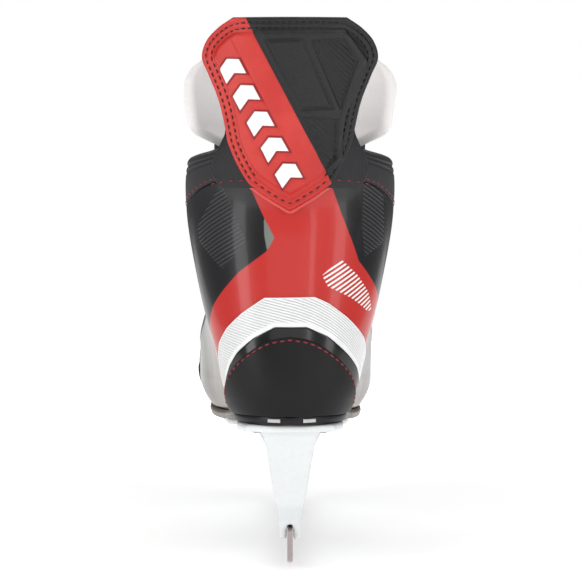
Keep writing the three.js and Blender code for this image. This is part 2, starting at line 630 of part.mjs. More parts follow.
// ---- runner with its bolts, pins and nuts ----
const rocker = [[3, 22], [4, 14], [9, 7.5], [18, 3.2], [32, 1.3], [70, 0.25], [112, 0], [176, 0],
  [220, 0.4], [246, 1.8], [264, 5], [278, 11.5], [288, 20], [291.5, 28]];
const runnerTop = [[286, 29], [270, 28.6], [FRONT_BOLT_H + 10, 27.9], [FRONT_BOLT_H + 7, 39],
  [FRONT_BOLT_H - 7, 39], [FRONT_BOLT_H - 10, 27.5], [REAR_BOLT_H + 10, 25.1], [REAR_BOLT_H + 7, 39],
  [REAR_BOLT_H - 7, 39], [REAR_BOLT_H - 10, 24.6], [16, 24.2]];
const tabHoles = union(boltSpots.map((h) => cylinder(1.9, new THREE.Vector3(-9, alongY(h), 35),
  new THREE.Vector3(9, alongY(h), 35), 12)));
add("runner", sidePrism([...rocker, ...runnerTop], -RUNNER / 2, RUNNER / 2).subtract(tabHoles),
  finish.steel);

const boltNames = ["rear", "front"];
boltSpots.forEach((h, i) => {
  const top = soleTop(h) + 4.6;
  const shank = upright(h, 0, 40, top, BOLT, 14);
  const foot = upright(h, 0, 32, 42, BOLT_FOOT, 16);
  const fork = sidePrism([[h - 8, 20], [h + 8, 20], [h + 8, 39.4], [h - 8, 39.4]], -RUNNER / 2 - GAP,
    RUNNER / 2 + GAP);
  const pin = cylinder(1.5, new THREE.Vector3(-2.6, alongY(h), 35), new THREE.Vector3(2.6, alongY(h),
    35), 12);
  add(boltNames[i] + "_bolt", shank.add(foot).subtract(fork).add(pin), finish.darkMetal);
  const nut = upright(h, 0, soleTop(h) - 3.5, soleTop(h) + 4, 6.4, 6).subtract(upright(h, 0, 40, 95,
    BOLT + GAP, 14));
  add(boltNames[i] + "_nut", nut, finish.darkMetal);
});

// ---- rivets through plate, outsole and board ----
rivetSpots.forEach(([h, x], i) => {
  const low = soleTop(h) - plateTop - PLATE - 2 * GAP;
  const head = upright(h, x, low - 1.3, low, RIVET_HEAD, 10);
  const shank = upright(h, x, low - 0.5, soleTop(h) + 3.3, RIVET, 8);
  const far = upright(h, x, soleTop(h) + 2.3 + GAP + 0.2, soleTop(h) + 4, 3.4, 10);
  add("rivet_" + String(i + 1).padStart(2, "0"), head.add(shank).add(far), finish.darkMetal);
});

export default skate;
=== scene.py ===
"""Looks of a right-foot ice hockey skate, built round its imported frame.

Lengths here are millimetres until a mesh is made. +X is the right side seen from behind, +Y points to the toe and +Z
is up. h is the distance forward of the heel plane, theta runs round the boot from the middle of the heel, and girth
is the length along the skin from the middle of the heel, so (girth, z) is a flat map of the back of the boot.
"""

import logging
import math
from dataclasses import dataclass, field
from enum import Enum
from typing import Callable, Iterable, Mapping, Sequence

import bmesh
import bpy
import numpy as np
from mathutils import Matrix, Vector


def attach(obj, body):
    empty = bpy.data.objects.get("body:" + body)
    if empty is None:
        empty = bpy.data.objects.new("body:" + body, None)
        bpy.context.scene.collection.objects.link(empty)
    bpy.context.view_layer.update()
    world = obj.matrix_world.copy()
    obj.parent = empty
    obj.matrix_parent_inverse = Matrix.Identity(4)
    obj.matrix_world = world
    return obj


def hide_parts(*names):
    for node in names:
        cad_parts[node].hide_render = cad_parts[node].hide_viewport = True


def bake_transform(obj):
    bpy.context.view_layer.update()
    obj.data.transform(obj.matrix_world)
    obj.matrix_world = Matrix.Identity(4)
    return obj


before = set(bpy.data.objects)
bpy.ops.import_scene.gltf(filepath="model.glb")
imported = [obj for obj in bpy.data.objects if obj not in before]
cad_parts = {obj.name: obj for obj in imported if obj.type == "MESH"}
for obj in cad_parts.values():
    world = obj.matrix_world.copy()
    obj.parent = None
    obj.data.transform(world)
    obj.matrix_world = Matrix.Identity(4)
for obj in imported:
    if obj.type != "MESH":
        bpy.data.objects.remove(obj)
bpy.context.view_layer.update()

log = logging.getLogger("skate")
Array = np.ndarray
Knots = tuple[tuple[float, float], ...]
Socket = bpy.types.NodeSocket

MM = 0.001
HEEL_Y = -140.0
TONGUE_GAP = 10.6
TONGUE_LAYER = 7.5
THROAT = 21.0
EYELET_X = 31.0
EYELETS = 11


# ---- curves and the skin of the boot ----
@dataclass(frozen=True)
class Line:
    """A smooth curve through knots of place and value, flat beyond its ends."""

    knots: Knots

    def __call__(self, at: Array | float) -> Array:
        """Returns the curve's value at each place."""
        place, value = np.array(self.knots, float).T
        count = len(place)
        low, high = np.maximum(np.arange(count) - 1, 0), np.minimum(np.arange(count) + 1, count - 1)
        slope = (value[high] - value[low]) / (place[high] - place[low])
        i = np.clip(np.searchsorted(place, at, side="right") - 1, 0, count - 2)
        span = place[i + 1] - place[i]
        t = np.clip((np.asarray(at, float) - place[i]) / span, 0, 1)
        back = 1 - t
        ends = value[i] * back * back * (1 + 2 * t) + value[i + 1] * t * t * (3 - 2 * t)
        return ends + span * t * back * (slope[i] * back - slope[i + 1] * t)


def smooth_step(value: Array, low: float, high: float) -> Array:
    """Returns 0 before low, 1 after high and a smooth rise between them, or the reverse where high is below low."""
    t = np.clip((value - low) / (high - low), 0, 1)
    return t * t * (3 - 2 * t)


def round_end(distance: Array, radius: Array) -> Array:
    """Returns the half chord of a round end at a distance from its tip, as a share of its full width."""
    t = 1 - np.clip(distance / radius, 0, 1)
    return np.sqrt(np.maximum(0, 1 - t * t))


def unit(vectors: Array) -> Array:
    """Returns the vectors at length one."""
    return vectors / np.maximum(np.linalg.norm(vectors, axis=-1, keepdims=True), 1e-9)


@dataclass
class Skin:
    """The outer skin of the boot: foot outlines whose back, front and width change with height."""

    back: Line = Line(
        ((58, 9), (70, 7.5), (82, 3.5), (98, 0), (118, 0.6), (140, 5), (160, 9), (178, 12), (194, 12.5),
            (210, 10.5),
         (228, 7), (242, 4))
    )
    front: Line = Line(
        ((58, 272), (70, 280), (80, 286), (90, 289), (100, 285), (107, 277), (113, 265), (119, 250),
            (125, 236),
         (131, 221), (137, 206), (143.5, 190), (150, 175), (158, 160), (167, 147), (178, 137),
         (190, 129), (202, 123),
         (215, 119.5), (228, 117), (242, 115.5))
    )
    back_round: Line = Line(((58, 33), (98, 36), (140, 40), (178, 46), (205, 50), (242, 48)))
    front_round: Line = Line(
        ((58, 56), (90, 62), (110, 72), (122, 80), (137, 86), (150, 88), (160, 84), (178, 72),
            (195, 58), (215, 53),
         (242, 52))
    )
    low_width: Line = Line(
        ((0, 34), (40, 35), (75, 34), (110, 36), (150, 43), (185, 50), (215, 51.5), (245, 49), (289, 44))
    )
    high_width: Line = Line(((0, 50), (55, 57), (110, 56), (150, 54.5), (200, 52.5), (289, 46)))
    widening: Line = Line(
        ((92, 0), (110, 0.2), (134, 0.52), (158, 0.76), (186, 0.97), (206, 1), (226, 0.93), (242, 0.88))
    )
    sole: Line = Line(
        ((0, 84), (60, 83.5), (92, 80.3), (130, 73.6), (170, 69.6), (230, 69), (268, 71), (292, 75))
    )
    axis: Line = Line(((90, 0), (170, -1.5), (289, -6)))
    rear_spread: float = 60.0
    tuck_height: float = 18.0
    tuck: float = 0.15

    def __post_init__(self) -> None:
        """Measures the girth at every millimetre of height, so that flat maps can be wrapped round the boot."""
        self.levels = np.arange(58.0, 243.0)
        self.turns = np.linspace(-math.pi, math.pi, 1441)
        theta, z = np.meshgrid(self.turns, self.levels)
        ring = self.point(theta, z)
        steps = np.linalg.norm(np.diff(ring, axis=1), axis=-1)
        run = np.concatenate([np.zeros((len(self.levels), 1)), np.cumsum(steps, axis=1)], axis=1)
        self.girths = run - run[:, [len(self.turns) // 2]]

    def half_width(self, h: Array, z: Array) -> Array:
        """Returns half the width of the boot."""
        base = self.low_width(h) + (self.high_width(h) - self.low_width(h)) * self.widening(z)
        above = np.clip(z - self.sole(h), 0, self.tuck_height)
        drawn_in = 1 - self.tuck * ((self.tuck_height - above) / self.tuck_height) ** 2
        ends = round_end(h - self.back(z), self.back_round(z)) * round_end(self.front(z) - h,
            self.front_round(z))
        return base * drawn_in * ends

    def point(self, theta: Array, z: Array) -> Array:
        """Returns points of the skin."""
        theta, z = np.broadcast_arrays(np.asarray(theta, float), np.asarray(z, float))
        turn = np.mod(theta, 2 * math.pi)
        right = turn <= math.pi
        share = np.where(right, turn / math.pi, 2 - turn / math.pi)
        back = self.back(z)
        ahead = self.front(z) - back - self.rear_spread
        rear = back + self.rear_spread * (1 - np.cos(math.pi * share))
        fore = back + self.rear_spread + ahead * np.sin(math.pi * (share - 0.5))
        h = np.where(share < 0.5, rear, fore)
        x = self.axis(h) + np.where(right, 1, -1) * self.half_width(h, z)
        return np.stack([x, HEEL_Y + h, z], -1)

    def normal(self, theta: Array, z: Array) -> Array:
        """Returns the outward normals of the skin."""
        around = self.point(theta + 0.01, z) - self.point(theta - 0.01, z)
        upwards = self.point(theta, z + 0.5) - self.point(theta, z - 0.5)
        return unit(np.cross(around, upwards))

    def theta_of_girth(self, girth: Array, z: Array) -> Array:
        """Returns the theta at each girth and height, by halving."""
        girth, z = np.broadcast_arrays(np.asarray(girth, float), np.asarray(z, float))
        level = np.clip(z - self.levels[0], 0, len(self.levels) - 1.001)
        row, part = level.astype(int), level % 1
        low, high = np.zeros(girth.shape), np.full(girth.shape, len(self.turns) - 1.001)
        for _ in range(17):
            middle = (low + high) / 2
            column, share = middle.astype(int), middle % 1
            here = [
                self.girths[row + up, column] * (1 - share) + self.girths[row + up, column + 1] * share
                for up in (0, 1)
            ]
            less = here[0] * (1 - part) + here[1] * part < girth
            low, high = np.where(less, middle, low), np.where(less, high, middle)
        return np.interp(middle, np.arange(len(self.turns)), self.turns)

    def girth_of_theta(self, theta: Array, z: Array) -> Array:
        """Returns the girth at each theta and height."""
        level = np.clip(z - self.levels[0], 0, len(self.levels) - 1.001)
        column = np.interp(theta, self.turns, np.arange(len(self.turns)))
        column = np.clip(column, 0, len(self.turns) - 1.001)
        row, up, near, along = level.astype(int), level % 1, column.astype(int), column % 1
        low = self.girths[row, near] * (1 - along) + self.girths[row, near + 1] * along
        high = self.girths[row + 1, near] * (1 - along) + self.girths[row + 1, near + 1] * along
        return low * (1 - up) + high * up

    def wrap(self, girth: Array, z: Array, offset: Array | float = 0.0) -> Array:
        """Returns the points of a flat map laid on the boot, a distance outside the skin."""
        theta = self.theta_of_girth(girth, z)
        return self.point(theta, z) + self.normal(theta, z) * np.asarray(offset)[..., None]

    def front_theta(self, z: Array, x: Array) -> Array:
        """Returns the theta on the right of the front at a distance from the foot's own middle line."""
        z, x = np.broadcast_arrays(np.asarray(z, float), np.asarray(x, float))
        low, high = np.full(z.shape, math.pi / 2), np.full(z.shape, math.pi)
        for _ in range(17):
            middle = (low + high) / 2
            at = self.point(middle, z)
            outside = at[..., 0] - self.axis(at[..., 1] - HEEL_Y) > x
            low, high = np.where(outside, middle, low), np.where(outside, high, middle)
        return middle

    def on_front(self, z: Array, x: Array, offset: Array | float) -> Array:
        """Returns points of the front of the boot at a signed distance from its middle line."""
        theta = self.front_theta(z, np.abs(x)) * np.where(np.asarray(x) < 0, -1, 1)
        return self.point(theta, z) + self.normal(theta, z) * np.asarray(offset)[..., None]


SKIN = Skin()


def polygon_distance(x: Array, z: Array, corners: Sequence[tuple[float, float]]) -> Array:
    """Signed distance to the edge of a flat outline.

    Args:
        x: First coordinates.
        z: Second coordinates.
        corners: The outline's corners in order.

    Returns:
        Millimetres to the edge, above zero inside.
    """
    nearest = np.full(np.shape(x), 1e9)
    inside = np.zeros(np.shape(x), bool)
    for (ax, az), (bx, bz) in zip(corners, list(corners[1:]) + [corners[0]]):
        dx, dz = bx - ax, bz - az
        t = np.clip(((x - ax) * dx + (z - az) * dz) / (dx * dx + dz * dz), 0, 1)
        nearest = np.minimum(nearest, np.hypot(x - ax - t * dx, z - az - t * dz))
        if abs(dz) > 1e-9:
            crosses = ((az > z) != (bz > z)) & (x < ax + (z - az) * dx / dz)
            inside ^= crosses
    return np.where(inside, nearest, -nearest)


# ---- meshes ----
def add_object(name: str, mesh: bpy.types.Mesh) -> bpy.types.Object:
    """Links a mesh to the scene as a smooth object at the origin."""
    made = bpy.data.objects.new(name, mesh)
    bpy.context.scene.collection.objects.link(made)
    mesh.polygons.foreach_set("use_smooth", [True] * len(mesh.polygons))
    return made


def finish_mesh(name: str, bm: bmesh.types.BMesh, weld: float = 1e-6,
        recalculate: bool = True) -> bpy.types.Object:
    """Turns a bmesh in metres into an object.

    Args:
        name: The piece's name.
        bm: The bmesh, which is freed.
        weld: Vertices closer than this become one.
        recalculate: Whether to turn the faces outwards.

    Returns:
        The new object.
    """
    bmesh.ops.remove_doubles(bm, verts=bm.verts, dist=weld)
    bmesh.ops.dissolve_degenerate(bm, edges=bm.edges, dist=weld)
    if recalculate:
        bmesh.ops.recalc_face_normals(bm, faces=bm.faces)
    mesh = bpy.data.meshes.new(name)
    bm.to_mesh(mesh)
    bm.free()
    return add_object(name, mesh)


def coordinates(bm: bmesh.types.BMesh) -> Array:
    """Returns the places of a bmesh's vertices."""
    return np.array([vertex.co for vertex in bm.verts], float)


def move_vertices(bm: bmesh.types.BMesh, places: Array) -> None:
    """Moves each vertex to its place in millimetres."""
    for vertex, place in zip(bm.verts, places * MM):
        vertex.co = place


Place = Callable[[Array, Array], Array]
Marks = Callable[[Array, Array, Array], Mapping[str, Array]]


@dataclass
class Panel:
    """A sheet with an outer face, an inner face and a rounded rim.

    place(u, v) gives its middle surface, with u and v from 0 to 1 and u x v pointing outwards. rims are the
    roundings at u = 0, u = 1, v = 0 and v = 1, where 0 joins the two ends of a ring.
    """

    name: str
    columns: int
    rows: int
    place: Place
    thickness: float
    rims: tuple[float, float, float, float] = (1.0, 1.0, 1.0, 1.0)
    outside: float = 0.5
    crowding: float = 0.6
    relief: Place | None = None
    marks: Marks | None = None

    def spread(self, t: Array, rounded: bool) -> Array:
        """Returns places crowded towards both ends, where the rim needs them."""
        return t - self.crowding * np.sin(2 * math.pi * t) / (2 * math.pi) if rounded else t

    def build(self) -> bpy.types.Object:
        """Returns the finished sheet with its marks stored on its vertices in millimetres."""
        bm = bmesh.new()
        bmesh.ops.create_grid(bm, x_segments=self.columns, y_segments=self.rows, size=0.5)
        flat = coordinates(bm)
        order = np.lexsort((np.round(flat[:, 0], 6), np.round(flat[:, 1], 6)))
        shape = (self.rows + 1, self.columns + 1)
        u = self.spread(flat[order, 0].reshape(shape) + 0.5, max(self.rims[:2]) > 0)
        v = self.spread(flat[order, 1].reshape(shape) + 0.5, max(self.rims[2:]) > 0)
        middle = self.place(u, v)
        across, up = np.gradient(middle, axis=1), np.gradient(middle, axis=0)
        normal = unit(np.cross(unit(across), unit(up)))
        run_u = self.run(middle, 1)
        run_v = self.run(middle, 0)
        edge = np.ones(shape)
        lengths = (run_u, run_u[:, -1:] - run_u, run_v, run_v[-1:, :] - run_v)
        for distance, radius in zip(lengths, self.rims):
            if radius > 0:
                edge = edge * round_end(distance, np.array(radius))
        raised = self.relief(u, v) * edge if self.relief else 0.0
        outer = middle + normal * (self.thickness * self.outside * edge + raised)[..., None]
        inner = middle - normal * (self.thickness * (1 - self.outside) * edge)[..., None]
        marks = {"across": run_u - run_u[:, -1:] / 2, "along": run_v}
        marks |= self.marks(u, v, middle) if self.marks else {}

        copied = bmesh.ops.duplicate(bm, geom=bm.verts[:] + bm.edges[:] + bm.faces[:])
        bmesh.ops.reverse_faces(bm, faces=[f for f in copied["geom"] if isinstance(f, bmesh.types.BMFace)])
        count = len(order)
        back = np.empty(count, int)
        back[order] = np.arange(count)
        places = np.concatenate([outer.reshape(-1, 3)[back], inner.reshape(-1, 3)[back]])
        for name, values in marks.items():
            layer = bm.verts.layers.float.new(name)
            flat_values = np.broadcast_to(values, shape).reshape(-1)[back]
            for vertex, value in zip(bm.verts, np.concatenate([flat_values, flat_values])):
                vertex[layer] = value
        layer = bm.verts.layers.float.new("inner_face")
        for number, vertex in enumerate(bm.verts):
            vertex[layer] = float(number >= count)
        move_vertices(bm, places)
        return finish_mesh(self.name, bm)

    @staticmethod
    def run(points: Array, axis: int) -> Array:
        """Returns the length run along rows or columns of points."""
        steps = np.linalg.norm(np.diff(points, axis=axis), axis=-1)
        start = np.zeros_like(steps[:, :1] if axis else steps[:1])
        return np.concatenate([start, np.cumsum(steps, axis=axis)], axis=axis)


def resample(path: Array, spacing: float) -> tuple[Array, Array]:
    """Returns evenly spaced points of a path and its unit tangents there."""
    run = np.concatenate([[0.0], np.cumsum(np.linalg.norm(np.diff(path, axis=0), axis=1))])
    stops = np.linspace(0, run[-1], max(int(run[-1] / spacing), 2))
    points = np.stack([np.interp(stops, run, path[:, k]) for k in range(3)], -1)
    return points, unit(np.gradient(points, axis=0))


def tube(name: str, path: Array, normals: Array, radius: tuple[float, float],
        sides: int = 10) -> bpy.types.Object:
    """A closed bar of oval section along a path.

    Args:
        name: The piece's name.
        path: Points of its middle line.
        normals: The direction of the oval's second half width at each point.
        radius: Half widths beside and along the normals.
        sides: Faces round the section.

    Returns:
        The new object, with the length along it stored as "along" and the turn round it as "around".
    """
    tangent = unit(np.gradient(path, axis=0))
    normals = unit(normals - tangent * np.sum(normals * tangent, -1, keepdims=True))
    aside = np.cross(tangent, normals)
    run = np.concatenate([[0.0], np.cumsum(np.linalg.norm(np.diff(path, axis=0), axis=1))])
    bm = bmesh.new()
    bmesh.ops.create_grid(bm, x_segments=sides, y_segments=len(path) - 1, size=0.5)
    flat = coordinates(bm)
    row = np.rint((flat[:, 1] + 0.5) * (len(path) - 1)).astype(int)
    turn = flat[:, 0] * 2 * math.pi
    places = path[row] + aside[row] * (np.cos(turn) * radius[0])[:, None]
    places = places + normals[row] * (np.sin(turn) * radius[1])[:, None]
    for layer_name, values in {"along": run[row], "around": turn}.items():
        layer = bm.verts.layers.float.new(layer_name)
        for vertex, value in zip(bm.verts, values):
            vertex[layer] = value
    move_vertices(bm, places)
    bmesh.ops.remove_doubles(bm, verts=bm.verts, dist=1e-6)
    bmesh.ops.holes_fill(bm, edges=[e for e in bm.edges if e.is_boundary])
    return finish_mesh(name, bm)


def stitches(
    name: str, rows: Iterable[tuple[Array, Callable[[Array], Array]]], pitch: float = 4.4,
    length: float = 2.9,
    radius: float = 0.42,
) -> bpy.types.Object:
    """Rows of single stitches, each a small spindle of thread.

    Args:
        name: The piece's name.
        rows: For each row its path, and a function that gives the outward normals at points of it.
        pitch: Distance from one stitch to the next.
        length: Length of one stitch.
        radius: Half thickness of the thread.

    Returns:
        The new object.
    """
    bm = bmesh.new()
    for path, outward in rows:
        points, tangents = resample(path, pitch)
        for point, tangent, normal in zip(points, tangents, outward(points)):
            aside = np.cross(normal, tangent)
            turn = Matrix([aside, np.cross(tangent, aside), tangent]).transposed().to_4x4()
            size = Matrix.Diagonal((radius * MM, radius * MM, length / 2 * MM, 1))
            place = Matrix.Translation(Vector(point * MM)) @ turn @ size
            bmesh.ops.create_uvsphere(bm, u_segments=6, v_segments=4, radius=1, matrix=place)
    return finish_mesh(name, bm, weld=1e-7)


def joined(name: str, parts: Sequence[bpy.types.Object]) -> bpy.types.Object:
    """Puts several meshes into one object."""
    bm = bmesh.new()
    for part in parts:
        bm.from_mesh(part.data)
        bpy.data.objects.remove(part)
    return finish_mesh(name, bm, recalculate=False)


def bake_modifiers(piece: bpy.types.Object) -> None:
    """Applies a piece's modifiers to its mesh."""
    bpy.context.view_layer.update()
    result = bpy.data.meshes.new_from_object(piece.evaluated_get(bpy.context.evaluated_depsgraph_get()))
    piece.modifiers.clear()
    piece.data = result
    result.polygons.foreach_set("use_smooth", [True] * len(result.polygons))


def lathe(bm: bmesh.types.BMesh, profile: Knots, place: Matrix, steps: int = 24) -> None:
    """Spins a profile of (radius, height) in millimetres into a bmesh and moves it to its place."""
    corners = [bm.verts.new((radius * MM, 0, height * MM)) for radius, height in profile]
    edges = [bm.edges.new(pair) for pair in zip(corners, corners[1:])]
    bmesh.ops.spin(
        bm, geom=corners + edges, axis=(0, 0, 1), cent=(0, 0, 0), angle=2 * math.pi, steps=steps,
        use_merge=True,
    )
    loose = [v for v in bm.verts if not v.tag]
    bmesh.ops.remove_doubles(bm, verts=loose, dist=1e-7)
    fresh = [v for v in bm.verts if not v.tag]
    bmesh.ops.transform(bm, matrix=place, verts=fresh)
    for vertex in fresh:
        vertex.tag = True


def facing(direction: Array, at: Array) -> Matrix:
    """Returns the matrix that stands a shape's +Z along a direction at a place in millimetres."""
    turn = Vector((0, 0, 1)).rotation_difference(Vector(direction)).to_matrix().to_4x4()
    return Matrix.Translation(Vector(at * MM)) @ turn


# ---- finishes ----
def colour(hex_code: str) -> tuple[float, float, float, float]:
    """Returns an sRGB hex colour as linear red, green, blue and 1."""
    parts = [int(hex_code[i : i + 2], 16) / 255 for i in (1, 3, 5)]
    return (*[c / 12.92 if c <= 0.04045 else ((c + 0.055) / 1.055) ** 2.4 for c in parts], 1.0)


def add_node(
    tree: bpy.types.NodeTree, kind: str, settings: Mapping | None = None, links: Mapping | None = None,
    out: int = 0,
) -> Socket:
    """Adds a shader node.

    Args:
        tree: The material's or world's node tree.
        kind: The node's type without "ShaderNode".
        settings: Values of its properties by name, or of its inputs by name or number.
        links: Sockets that feed its inputs.
        out: Which output to return.

    Returns:
        The chosen output, or None for a node without outputs.
    """
    node = tree.nodes.new("ShaderNode" + kind)
    for key, value in (settings or {}).items():
        if isinstance(key, str) and hasattr(node, key):
            setattr(node, key, value)
        else:
            node.inputs[key].default_value = value
    for key, socket in (links or {}).items():
        tree.links.new(socket, node.inputs[key])
    return node.outputs[out] if len(node.outputs) else None


def math_node(tree: bpy.types.NodeTree, operation: str, first: Socket,
        second: Socket | float = 0.0) -> Socket:
    """Returns the result of a two-value operation on sockets."""
    if isinstance(second, (int, float)):
        return add_node(tree, "Math", {"operation": operation, 1: float(second)}, {0: first})
    return add_node(tree, "Math", {"operation": operation}, {0: first, 1: second})


def attribute(tree: bpy.types.NodeTree, name: str) -> Socket:
    """Returns a mark stored on the vertices as a number."""
    return add_node(tree, "Attribute", {"attribute_name": name}, out=2)


def between(tree: bpy.types.NodeTree, value: Socket, low: float, high: float) -> Socket:
    """Returns 0 at low and 1 at high, held beyond them."""
    return add_node(tree, "MapRange", {"From Min": low, "From Max": high}, {"Value": value})


def mixed(tree: bpy.types.NodeTree, share: Socket, under: Socket | str, over: Socket | str) -> Socket:
    """Returns the colour under, with the colour over laid on it by share."""
    settings, links = {"data_type": "RGBA"}, {0: share}
    for index, shade in ((6, under), (7, over)):
        if isinstance(shade, str):
            settings[index] = colour(shade)
        else:
            links[index] = shade
    return add_node(tree, "Mix", settings, links, out=2)


def surface_map(tree: bpy.types.NodeTree) -> Socket:
    """Returns the flat map of a sheet in millimetres, from the lengths stored along and across it."""
    return add_node(
        tree, "CombineXYZ", links={0: attribute(tree, "across"), 1: attribute(tree, "along")}
    )


def lines_at(tree: bpy.types.NodeTree, place: Socket, angle: float, pitch: float) -> Socket:
    """Returns a wave from 0 to 1 in straight lines of a pitch, at an angle in degrees, over a flat map."""
    turned = add_node(tree, "Mapping", {"Rotation": (0, 0, math.radians(angle))}, {"Vector": place})
    across = add_node(tree, "SeparateXYZ", links={0: turned})
    wave = math_node(tree, "SINE", math_node(tree, "MULTIPLY", across, 2 * math.pi / pitch))
    return math_node(tree, "MULTIPLY_ADD", wave, 0.5)


class Texture(Enum):
    """What the surface of a plain material is like."""

    GRAIN = "fine moulded grain"
    FELT = "pressed felt"
    KNIT = "knitted lining"
    BRUSHED = "ground along its length"
    WOVEN = "braided cord"


@dataclass(frozen=True)
class Finish:
    """A material: what the real one is, its colour and its surface.

    second is the colour that the surface wanders to, grain the size of its pattern and depth its height, both in
    millimetres.
    """

    name: str
    base: str
    second: str
    roughness: float
    texture: Texture = Texture.GRAIN
    grain: float = 0.6
    depth: float = 0.02
    ior: float = 1.5
    metallic: float = 0.0
    coat: float = 0.0
    coat_roughness: float = 0.1
    sheen: float = 0.0

    def material(self) -> bpy.types.Material:
        """Returns the material, made once."""
        known = bpy.data.materials.get(self.name)
        if known:
            return known
        made = bpy.data.materials.new(self.name)
        made.use_nodes = True
        tree = made.node_tree
        shader = tree.nodes["Principled BSDF"]
        values = {"Roughness": self.roughness, "Metallic": self.metallic, "Coat Weight": self.coat,
                  "Coat Roughness": self.coat_roughness, "Sheen Weight": self.sheen, "Sheen Roughness": 0.5}
        if self.metallic < 1:
            values["IOR"] = self.ior
        for key, value in values.items():
            shader.inputs[key].default_value = value
        tint, rough, height = self.pattern(tree)
        tree.links.new(tint, shader.inputs["Base Color"])
        tree.links.new(rough, shader.inputs["Roughness"])
        bump = add_node(tree, "Bump", {"Distance": MM, "Strength": 1.0}, {"Height": height})
        tree.links.new(bump, shader.inputs["Normal"])
        return made

    def spots(self, tree: bpy.types.NodeTree, size: float,
            stretch: tuple[float, float, float] = (1, 1, 1)) -> Socket:
        """Returns noise whose spots are about size millimetres wide, divided by stretch along each axis."""
        place = add_node(tree, "TexCoord", out=3)
        scaled = add_node(tree, "Mapping", {"Scale": tuple(s / (size * MM * 2) for s in stretch)},
            {"Vector": place})
        return add_node(tree, "TexNoise", {"Scale": 1.0, "Detail": 3.0, "Roughness": 0.6},
            {"Vector": scaled})

    def pattern(self, tree: bpy.types.NodeTree) -> tuple[Socket, Socket, Socket]:
        """Returns the colour, the roughness and the height in millimetres."""
        stretch = (1.0, 0.03, 1.0) if self.texture is Texture.BRUSHED else (1.0, 1.0, 1.0)
        fine = self.spots(tree, self.grain, stretch)
        broad = self.spots(tree, 14.0)
        height = math_node(tree, "MULTIPLY", fine, self.depth)
        if self.texture is Texture.KNIT:
            flat = surface_map(tree)
            ribs = math_node(tree, "MULTIPLY", lines_at(tree, flat, 0, 1.6), lines_at(tree, flat, 90, 1.3))
            height = math_node(tree, "ADD", height, math_node(tree, "MULTIPLY", ribs, 0.18))
        if self.texture is Texture.WOVEN:
            turns = attribute(tree, "around")
            rise = math_node(tree, "MULTIPLY", attribute(tree, "along"), 2 * math.pi / 3.2)
            right = math_node(tree, "SINE", math_node(tree, "MULTIPLY_ADD", turns, 4.0))
            left = math_node(tree, "SINE", rise)
            height = math_node(tree, "MULTIPLY", math_node(tree, "MULTIPLY", right, left), self.depth)
            # the colour follows the strands' height, so the hollows between them take painted shade
            fine = math_node(tree, "MULTIPLY_ADD", math_node(tree, "MULTIPLY", right, left), 0.5)
        if self.texture is Texture.FELT:
            hairs = self.spots(tree, self.grain * 3)
            height = math_node(tree, "ADD", height, math_node(tree, "MULTIPLY", hairs, self.depth * 2))
        wander = math_node(tree, "MULTIPLY", math_node(tree, "ADD", fine, broad), 0.5)
        tint = mixed(tree, between(tree, wander, 0.35, 0.65), self.base, self.second)
        low, high = max(self.roughness - 0.06, 0.02), min(self.roughness + 0.06, 1.0)
        rough = add_node(tree, "MapRange", {"From Min": 0.35, "From Max": 0.65, "To Min": low,
            "To Max": high},
                         {"Value": broad})
        return tint, rough, height


